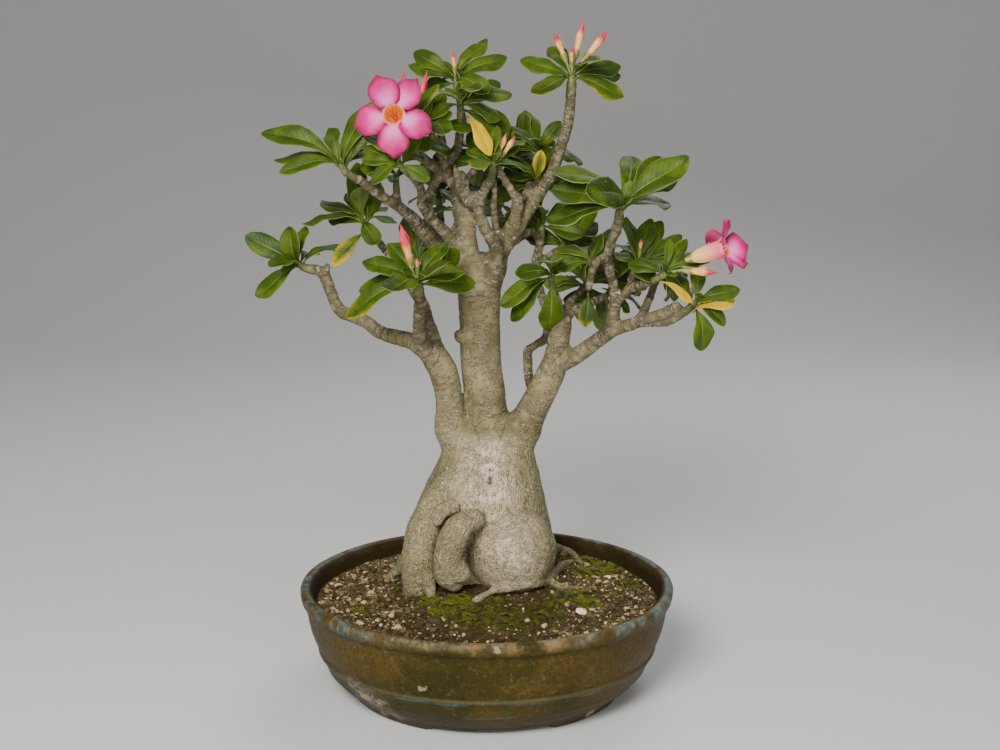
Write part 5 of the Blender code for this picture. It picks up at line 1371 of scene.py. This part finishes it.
def glaze_material(tree):
    """Brown-olive glaze with iron specks, a rubbed grey rim, teal runs, a few chips to the clay, and painted
    shade inside the rim.
    """
    shade = Shade("glaze_detail", Specular_IOR_Level=0.10)
    x, _, height = shade.split(shade.place)
    broad, cloud = shade.noise(14, 4, 0.6), shade.noise(42, 5, 0.65)
    fine, speck, pitted = shade.noise(240, 4, 0.65), shade.noise(700, 3, 0.7), shade.noise(420, 4, 0.7)
    runs = shade.noise(60, 4, 0.6, shade.stretched((1.0, 1.0, 0.16)))

    def marks(rows, core):
        """1 on the listed places of the wall, fading out."""
        return shade.patches([(on_surface(tree, px, py), radius) for px, py, radius in rows], core, 1 - core)

    def pooled(level, reach, start, strength):
        """Teal that lies in broken lengths along a height of the wall."""
        near = shade.ramp(shade.off(height, level), reach, 0.0003)
        return shade.times(shade.masked(near, cloud, start, 0.6), strength)

    level = shade.stretched((1.0, 1.0, 0.0))
    radius = shade.node("ShaderNodeVectorMath", {0: level}, "Value", operation="LENGTH")
    # Inside the rim: the glaze is darkened there as painted shade, and the teal is kept off it
    inside = shade.masked(shade.ramp(radius, 0.1345, 0.1325), height, 0.050, 0.062)
    rim = shade.ramp(height, (POT_HEIGHT - 8.5) * MM, (POT_HEIGHT - 1.5) * MM)
    worn = shade.blend(fine, 0.35, 0.7, GLAZE["worn_dark"], GLAZE["worn_light"])
    tan = shade.masked(marks(TAN_PATCHES, 0.3), cloud, 0.38, 0.52)
    tan = shade.masked(tan, height, 0.066, 0.074)
    grey = shade.masked(marks(WORN_PATCHES, 0.3), fine, 0.40, 0.60)

    band = shade.masked(shade.ramp(height, 0.062, 0.078), cloud, 0.44, 0.56)
    band = shade.masked(band, shade.math("ABSOLUTE", x), 0.050, 0.110)
    teal = shade.masked(marks(TEAL_PATCHES, 0.4), cloud, 0.36, 0.50)
    teal = shade.math("MAXIMUM", teal, shade.times(band, 0.5))
    teal = shade.times(teal, shade.math("SUBTRACT", 1.0, inside))
    for row in ((0.0312, 0.0016, 0.42, 0.55), (0.0192, 0.0014, 0.44, 0.45)):
        teal = shade.math("MAXIMUM", teal, pooled(*row))
    blue = shade.blend(fine, 0.3, 0.7, GLAZE["teal_dark"], GLAZE["teal_light"])

    near_chip = marks(CHIPS, 0.1)
    ragged = shade.times(shade.math("SUBTRACT", shade.noise(190, 4, 0.6), 0.5), 2.6)
    ragged = shade.ramp(shade.plus(near_chip, ragged), 0.50, 0.56)
    chip = shade.masked(ragged, near_chip, 0.05, 0.2)

    colour = shade.blend(broad, 0.38, 0.62, GLAZE["olive"], GLAZE["brown"])
    colour = shade.layers(colour,
                          (shade.ramp(cloud, 0.5, 0.72), 0.5, GLAZE["amber"]),
                          (shade.ramp(runs, 0.50, 0.70), 0.6, GLAZE["run"]),
                          (shade.ramp(pitted, 0.56, 0.42), 0.5, GLAZE["pit"]),
                          (shade.ramp(fine, 0.55, 0.72), 0.35, GLAZE["fleck"]),
                          (shade.ramp(speck, 0.62, 0.7), 0.6, GLAZE["speck"]),
                          (shade.ramp(height, 0.034, 0.012), 0.35, GLAZE["foot"]),
                          (rim, shade.ramp(cloud, 0.36, 0.64), worn),
                          (tan, 0.4, GLAZE["tan"]),
                          (grey, 0.8, GLAZE["grey"]),
                          # painted shade inside the rim
                          (inside, 0.8, GLAZE["inside"]),
                          (teal, 0.85, blue),
                          (shade.ramp(shade.off(height, 0.0335), 0.0020, 0.0004), 0.4, GLAZE["line"]),
                          (chip, 0.85, GLAZE["clay"]))
    rough = shade.plus(shade.ramp(fine, -0.8, 1.9), shade.times(chip, 0.4))
    heights = ((cloud, 0.8), (fine, 0.5), (pitted, 0.3), (shade.times(chip, -1.0), 0.5), (speck, 0.1))
    return shade.finish(colour, rough, heights)


SOIL_RINGS = 78
SOIL_SIDES = 264
# Gap between the soil and the pot, mm
SOIL_GAP = 0.7
# The crumbly top's roughness: (scale, mm), where and over how many mm it fades, and how far below the CAD's
# it lies
SOIL_ROUGHNESS = ((0.11, 1.1), (0.33, 0.8), (0.8, 0.45))
SOIL_FADE_START = 131.0
SOIL_FADE = 6.0
SOIL_DROP = 0.4
# Stones and crumbs: how many, how finely each is cut, smallest and largest size in mm, how high its middle
# lies by its size, and the seed of its draws
STONES = {"gravel": (1550, 2, (0.8, 2.8), 0.25, 11), "soil_crumbs": (4800, 1, (0.5, 1.6), 0.3, 12)}
# The white stone: its pixel, its size in mm, how finely it is cut, how high its middle lies, and its seed
WHITE_STONE = (581, 613)
WHITE_SIZE = 4.0
WHITE_LEVEL = 3
WHITE_SINK = 0.45
WHITE_SEED = 8
# How far from the pot's axis stones lie, mm
STONE_REACH = 126.0
STONE_LIMIT = 127.0
# Moss patches: pixel of the photograph on the soil, radius in mm, and how fresh
MOSS_PATCHES = [(452, 606, 17, 1.0), (474, 617, 18, 0.5), (508, 620, 17, 0.3), (542, 614, 16, 0.2),
                (430, 599, 9, 0.7), (583, 600, 15, 1.0), (566, 594, 9, 0.8), (590, 574, 17, 0.8),
                (608, 568, 17, 0.7), (586, 562, 16, 1.0), (626, 584, 12, 0.4), (364, 610, 8, 0.8),
                (572, 560, 10, 0.8), (398, 588, 8, 0.2), (500, 600, 10, 0.2), (556, 604, 9, 0.4)]
TUFTS = 8200
TUFT_LEAVES = 5
MOSS_REACH = 124
MOSS_SEED = 31
# Scales, per mm, of the gaps in the moss and of its clumps
MOSS_BREAKS = 0.17
MOSS_CLUMPS = 0.22
# The trunk's foot in the soil: its middle and its half sizes, mm
TRUNK_MIDDLE_Y = 25.0
TRUNK_HALVES = (54, 52)


def ground(x, y):
    """Height in mm of the crumbly soil surface at a place in mm."""
    place = Vector((x, y, 0.0))
    rough = 0.0
    for scale, size in SOIL_ROUGHNESS:
        rough += noise.noise(place * scale) * size
    edge = min(1.0, (SOIL_FADE_START - math.hypot(x, y)) / SOIL_FADE)
    return soil_height(x, y) + rough * edge - SOIL_DROP


def on_soil(px, py):
    """(x, y) in mm where the sight line through a pixel meets the soil."""
    depth = -RIM_RADIUS
    place = sight(px, py, depth) / MM
    while place.z > soil_height(place.x, place.y) and depth < RIM_RADIUS:
        depth += 1.0
        place = sight(px, py, depth) / MM
    return place.x, place.y


def moss_places():
    """Centres (x, y) and radii in mm of the moss patches, and how fresh each is."""
    return [(*on_soil(px, py), radius, bright) for px, py, radius, bright in MOSS_PATCHES]


def gravel_share(x, y, patches):
    """How readily gravel lies at a place: thick at the sides, thin in front of the trunk and in the moss."""
    share = 0.25 + 0.75 * clamp((abs(x) - 40.0) / 35.0)
    if y > 20.0:
        share = max(share, 0.6)
    if any(math.hypot(x - cx, y - cy) < radius * 0.8 for cx, cy, radius, _ in patches):
        share *= 0.12
    return share


def in_trunk(x, y, margin=0.0):
    """True where the caudex stands in the soil."""
    return math.hypot(x / (TRUNK_HALVES[0] + margin), (y - TRUNK_MIDDLE_Y) / (TRUNK_HALVES[1] + margin)) < 1.0


def build_soil(mat):
    """Crumbly potting mix that fills the pot, its top raised round the caudex."""
    shell = Shell()
    (low_radius, low_height), (high_radius, high_height) = INNER_WALL[-2:]
    share = (SOIL_EDGE - low_height) / (high_height - low_height)
    top_radius = low_radius + share * (high_radius - low_radius) - SOIL_GAP

    def add_ring(radius, height_at):
        """A ring of points, clockwise from above."""
        places = [(math.cos(angle) * radius, math.sin(angle) * radius) for angle in round_steps(SOIL_SIDES)]
        return [shell.point(Vector((x, y, height_at(x, y))) * MM) for x, y in places][::-1]

    rings = [add_ring(top_radius * step / SOIL_RINGS, ground) for step in range(1, SOIL_RINGS + 1)]
    for radius, height in reversed(INNER_WALL[:-1]):
        rings.append(add_ring(radius - SOIL_GAP, lambda x, y: height + SOIL_GAP))
    shell.skin(rings)
    dress(shell.build("soil_crumbly"), mat, "potting_mix", "soil")


def unit_stone(level):
    """Vertices and faces of a round stone to copy."""
    bm = bmesh.new()
    bmesh.ops.create_icosphere(bm, subdivisions=level, radius=1.0)
    verts = [vert.co.copy() for vert in bm.verts]
    faces = [tuple(vert.index for vert in face.verts) for face in bm.faces]
    bm.free()
    return verts, faces


def add_stone(shell, stone, x, y, size, sink, draw, tone=None):
    """One lumpy stone, half sizes about size mm."""
    verts, faces = stone
    shape = Vector((draw.uniform(0.8, 1.35), draw.uniform(0.6, 1.0), draw.uniform(0.45, 0.8)))
    turn = Matrix.Rotation(draw.uniform(0, 6.28), 3, "Z") @ Matrix.Rotation(draw.uniform(-0.5, 0.5), 3, "X")
    shift = Vector((draw.uniform(0, 50), draw.uniform(0, 50), draw.uniform(0, 50)))
    centre = Vector((x, y, ground(x, y) + size * sink))
    tone = draw.random() if tone is None else tone
    start = len(shell.verts)
    for vert in verts:
        lump = 1.0 + 0.55 * noise.noise(vert * 1.3 + shift)
        place = turn @ Vector((vert.x * shape.x, vert.y * shape.y, vert.z * shape.z)) * lump * size + centre
        shell.point(place * MM, tone=tone)
    shell.add_faces(start, faces)


def scatter_stones(name, mat):
    """Irregular stones over the soil, as one piece."""
    count, level, (smallest, largest), sink, seed = STONES[name]
    draw = random.Random(seed)
    stone = unit_stone(level)
    shell = Shell()
    patches = moss_places()
    placed = 0
    while placed < count:
        angle = draw.uniform(0, 2 * math.pi)
        radius = STONE_REACH * math.sqrt(draw.random())
        x, y = math.cos(angle) * radius, math.sin(angle) * radius
        if in_trunk(x, y) or draw.random() > gravel_share(x, y, patches):
            continue
        size = smallest + (largest - smallest) * draw.random() ** 2.2
        if radius + size > STONE_LIMIT:
            continue
        add_stone(shell, stone, x, y, size, sink, draw)
        placed += 1
    if name == "gravel":
        draw = random.Random(WHITE_SEED)
        add_stone(shell, unit_stone(WHITE_LEVEL), *on_soil(*WHITE_STONE), WHITE_SIZE, WHITE_SINK, draw, 1.0)
    thing = shell.build(name)
    thing.data.shade_flat()
    dress(thing, mat, "potting_mix")


def build_moss(mat):
    """Cushions of tiny pointed moss leaves over the damp patches."""
    draw = random.Random(MOSS_SEED)
    shell = Shell()
    patches = moss_places()
    weights = [radius * radius for _, _, radius, _ in patches]
    placed = 0
    while placed < TUFTS:
        cx, cy, reach, bright = draw.choices(patches, weights)[0]
        angle, away = draw.uniform(0, 2 * math.pi), reach * draw.random() ** 0.62
        x, y = cx + math.cos(angle) * away, cy + math.sin(angle) * away
        bare = noise.noise(Vector((x, y, 7)) * MOSS_BREAKS) < 0.0
        if math.hypot(x, y) > MOSS_REACH or in_trunk(x, y, 0.5) or bare:
            continue
        placed += 1
        clump = noise.noise(Vector((x, y, 3)) * MOSS_CLUMPS)
        mound = (1.6 + 1.8 * clump) * max(0.0, 1 - away / reach)
        base = Vector((x, y, ground(x, y) + mound - 0.5))
        tone = draw.random() * 0.45 + bright * 0.55 + clump * 0.5
        for _ in range(TUFT_LEAVES):
            add_moss_leaf(shell, base, tone, draw)
    dress(shell.build("moss_cushions"), mat, "potting_mix")


def add_moss_leaf(shell, base, tone, draw):
    """A pointed three-sided leaf about 2 mm long."""
    turn = draw.uniform(0, 2 * math.pi)
    lean = Vector((math.cos(turn), math.sin(turn), draw.uniform(0.5, 1.8))).normalized()
    height = draw.uniform(1.0, 2.6)
    across = lean.orthogonal().normalized() * draw.uniform(0.25, 0.45)
    other = lean.cross(across)
    start = len(shell.verts)
    for place in (base + across, base - across * 0.5 + other, base - across * 0.5 - other):
        shell.point(place * MM, tone=tone, high=0.0)
    shell.point((base + lean * height) * MM, tone=tone, high=1.0)
    shell.add_faces(start, ((0, 1, 3), (1, 2, 3), (2, 0, 3), (2, 1, 0)))


# Colours of the potting mix
SOIL = {"dark": (0.018, 0.013, 0.005), "light": (0.076, 0.057, 0.022), "dry": (0.12, 0.085, 0.042),
        "mossy": (0.060, 0.070, 0.012)}


def soil_material():
    """Dark brown crumbs, lighter where dry, green where moss starts."""
    shade = Shade("soil_detail", Roughness=0.92, Specular_IOR_Level=0.08)
    cloud, fine, cell = shade.noise(38, 4), shade.noise(330, 5, 0.7), shade.cells(260)
    balls = [((x, y, soil_height(x, y)), radius) for x, y, radius, _ in moss_places()]
    damp = shade.masked(shade.patches(balls, 0.55, 0.6), cloud, 0.38, 0.56)
    damp = shade.masked(damp, fine, 0.40, 0.60)
    colour = shade.blend(fine, 0.3, 0.7, SOIL["dark"], SOIL["light"])
    colour = shade.layers(colour, (shade.ramp(cloud, 0.48, 0.7), 0.4, SOIL["dry"]),
                          (damp, 0.8, SOIL["mossy"]))
    return shade.finish(colour, None, ((cell, 0.8), (fine, 0.6)))


# Colours of the stones
STONE = {"dark": (0.028, 0.021, 0.010), "brown": (0.105, 0.070, 0.030), "tan": (0.22, 0.145, 0.058),
         "cream": (0.48, 0.385, 0.205), "white": (0.82, 0.74, 0.62), "speck": (0.10, 0.075, 0.045)}


def stone_material():
    """Each stone its own tint from cream and tan to brown and grey, with mineral specks."""
    shade = Shade("gravel_detail", Roughness=0.8, Specular_IOR_Level=0.15)
    tone, fine = shade.value("tone"), shade.noise(520, 4, 0.65)
    dark = shade.blend(tone, 0.0, 0.55, STONE["dark"], STONE["brown"])
    light = shade.blend(tone, 0.76, 0.98, STONE["tan"], STONE["cream"])
    colour = shade.blend(tone, 0.66, 0.82, dark, light)
    colour = shade.blend(tone, 0.996, 0.999, colour, STONE["white"])
    colour = shade.layers(colour, (shade.ramp(fine, 0.5, 0.75), 0.5, STONE["speck"]))
    return shade.finish(colour, None, ((fine, 0.25),))


# Colours of the moss
MOSS = {"dull_foot": (0.018, 0.018, 0.005), "dull_tip": (0.072, 0.066, 0.016),
        "fresh_foot": (0.026, 0.034, 0.004), "fresh_tip": (0.19, 0.215, 0.020),
        "dry": (0.070, 0.050, 0.014)}


def moss_material():
    """Bright yellow-green tips over dark olive."""
    shade = Shade("moss_detail", Roughness=0.8, Specular_IOR_Level=0.1)
    tone, high = shade.value("tone"), shade.value("high")
    dull = shade.mix(high, MOSS["dull_foot"], MOSS["dull_tip"])
    fresh = shade.mix(high, MOSS["fresh_foot"], MOSS["fresh_tip"])
    colour = shade.blend(tone, 0.15, 0.85, dull, fresh)
    colour = shade.layers(colour, (shade.ramp(shade.noise(55, 3), 0.5, 0.66), 0.6, MOSS["dry"]))
    return shade.finish(colour)


# Leaf looks by rosette and tip number, where other than drawn: lift and droop as shares of the length,
# fold as the rise for each half width, roll in radians, wide as a factor on the width, age from 0 to 1
LEAF_LOOKS = {
    "leaves_front_left": {0: {"age": 0.13, "wide": 0.85, "droop": 0.1}, 3: {"age": 0.10}},
    "leaves_main_top": {1: {"age": 0.14, "wide": 1.1}, 3: {"age": 0.17, "droop": 0.14}},
    "leaves_right_tall": {0: {"fold": 0.5}, 1: {"fold": 0.7}, 2: {"roll": -0.5},
                          3: {"lift": 0.2, "roll": 0.5}, 7: {"wide": 0.8}},
    "leaves_far_left": {0: {"fold": 0.4}, 3: {"fold": 0.75, "wide": 1.15}, 5: {"age": 0.12, "fold": 0.6}},
    "leaves_left_high": {2: {"fold": 0.75, "wide": 0.8}, 0: {"fold": 0.6, "lift": 0.18, "wide": 0.8},
                         1: {"fold": 0.6, "lift": 0.2, "wide": 0.8}},
    "leaves_crown_back": {0: {"lift": 0.24}, 3: {"lift": 0.18}},
    "leaves_main_back": {3: {"wide": 0.6}},
    "leaves_main_low": {2: {"wide": 0.6}},
    "leaves_right_bloom": {0: {"wide": 0.6, "fold": 0.6}, 1: {"wide": 0.7, "age": 0.12}},
    "leaves_far_right": {1: {"age": 0.4, "wide": 0.8}, 3: {"wide": 1.15}},
    "leaves_crown_centre": {0: {"age": 0.12}},
    "leaves_right_short": {3: {"age": 0.15}},
    "leaves_bloom_arm": {0: {"wide": 0.6, "age": 0.12}},
}
YOUNG_LEAVES = 4
# Leaves added behind and between those of the CAD, where a rosette has other than three
BACK_LEAVES = {"leaves_main_back": 8, "leaves_back_high": 7, "leaves_back_middle": 6,
               "leaves_back_left": 6, "leaves_back_right": 8, "leaves_main_low": 8, "leaves_right_low": 8,
               "leaves_right_side": 7, "leaves_right_middle": 6, "leaves_right_back": 7,
               "leaves_right_front": 0, "leaves_main_twig": 5, "leaves_right_bloom": 2,
               "leaves_crown_inner": 5, "leaves_bloom_arm": 5, "leaves_crown_left": 4,
               "leaves_left_inner": 5, "leaves_left_low": 6, "leaves_right_short": 4, "leaves_main_arm": 4,
               "leaves_left_bloom": 5, "leaves_olive_twig": 2, "leaves_front_left": 2,
               "leaves_main_top": 2, "leaves_left_high": 2, "leaves_crown_back": 2}
# How far each turned leaf has yellowed, where other than the common age
TURNED_AGE = 0.8
TURNED_AGES = {"leaf_hanging": 0.17, "yellow_leaf_left": 0.24, "yellow_leaf_twig": 0.27}


def build_turned_leaf(name, row, mat):
    """A single leaf that has turned yellow, on its stalk."""
    base, tip, width = row
    shell = Shell()
    add_leaf(shell, sight(*base), sight(*tip), width, Vector((0.2, -0.6, 0.8)), random.Random(name),
             age=TURNED_AGES.get(name, TURNED_AGE))
    dress(shell.build(name + "_full"), mat, "leaf_yellow", name)


def screen_material():
    """Black woven plastic mesh."""
    shade = Shade("screen_detail", Roughness=0.6)
    weave = shade.cells(900, jitter=0.0)
    colour = shade.blend(weave, 0.3, 0.5, (0.010, 0.010, 0.010), (0.035, 0.035, 0.035))
    return shade.finish(colour, None, ((weave, 0.4),))


# The floor runs up behind into a backdrop: its reach, and where and how fast it turns up, metres
FLOOR_REACH = 6.0
FLOOR_DROP = 0.0002
SWEEP_START = 1.4
SWEEP_RADIUS = 1.5
SWEEP_STEPS = 16
# Soft lights: place, size in metres, power in watts, colour; all aimed at one target
LIGHTS = {"key": ((-0.40, -1.46, 1.12), 0.6, 48.0, (1.0, 0.97, 0.93)),
          "fill": ((0.45, -1.5, 0.42), 0.8, 10.0, (0.97, 0.98, 1.0)),
          "rim": ((0.5, 1.1, 1.3), 1.0, 12.0, (1.0, 1.0, 1.0))}
LIGHT_TARGET = Vector((0.0, 0.0, 0.22))
SKY_COLOUR = (0.86, 0.86, 0.85, 1.0)
SKY_STRENGTH = 0.24


def add_lights():
    """Soft square area lights and an even sky."""
    for name, (place, size, power, colour) in LIGHTS.items():
        lamp = bpy.data.lights.new(name, "AREA")
        lamp.size = size
        lamp.energy = power
        lamp.color = colour
        thing = bpy.data.objects.new(name, lamp)
        thing.location = place
        thing.rotation_euler = (LIGHT_TARGET - Vector(place)).to_track_quat("-Z", "Y").to_euler()
        bpy.context.scene.collection.objects.link(thing)
    world = bpy.data.worlds.new("studio")
    world.use_nodes = True
    backdrop = world.node_tree.nodes["Background"]
    backdrop.inputs["Color"].default_value = SKY_COLOUR
    backdrop.inputs["Strength"].default_value = SKY_STRENGTH
    bpy.context.scene.world = world


def add_camera():
    """Camera at the photograph's viewpoint."""
    lens = bpy.data.cameras.new("camera")
    lens.lens = FOCAL_LENGTH
    lens.sensor_width = SENSOR_WIDTH
    lens.clip_start = 0.01
    camera = bpy.data.objects.new("camera", lens)
    camera.location = EYE * MM
    camera.rotation_euler = (math.pi / 2 - PITCH, 0.0, 0.0)
    bpy.context.scene.collection.objects.link(camera)
    bpy.context.scene.camera = camera


def add_floor():
    """A plain pale floor that runs up behind into a backdrop."""
    sweep = [(-FLOOR_REACH, 0.0), (SWEEP_START, 0.0)]
    for step in range(1, SWEEP_STEPS + 1):
        turn = math.pi / 2 * step / SWEEP_STEPS
        sweep.append((SWEEP_START + SWEEP_RADIUS * math.sin(turn), SWEEP_RADIUS * (1 - math.cos(turn))))
    sweep.append((SWEEP_START + SWEEP_RADIUS, FLOOR_REACH))
    shell = Shell()
    shell.grid([[shell.point(Vector((x, y, z - FLOOR_DROP))) for x in (-FLOOR_REACH, FLOOR_REACH)]
                for y, z in sweep])
    floor = shell.build("floor")
    shade = Shade("floor_pale", Roughness=0.9)
    tone = shade.noise(1.5, 2)
    floor.data.materials.append(shade.finish(shade.mix(tone, (0.60, 0.60, 0.59), (0.64, 0.64, 0.63))))


def main():
    """Build everything round the CAD frame."""
    add_camera()
    add_floor()
    add_lights()
    build_wood(bark_material())
    leaf, petal, bud, calyx = leaf_material(), petal_material(), bud_material(), calyx_material()
    for name, row in SPRAYS.items():
        build_spray(name, row, leaf)
    for name, row in TURNED_LEAVES.items():
        build_turned_leaf(name, row, leaf)
    for name, row in BLOOMS.items():
        build_bloom(name, row, petal, calyx)
    for name, row in BUDS.items():
        build_bud(name, row, bud, calyx)
    build_pot()
    build_soil(soil_material())
    gravel = stone_material()
    for name in STONES:
        scatter_stones(name, gravel)
    build_moss(moss_material())
    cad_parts["drain_screen"].data.materials[0] = screen_material()


main()
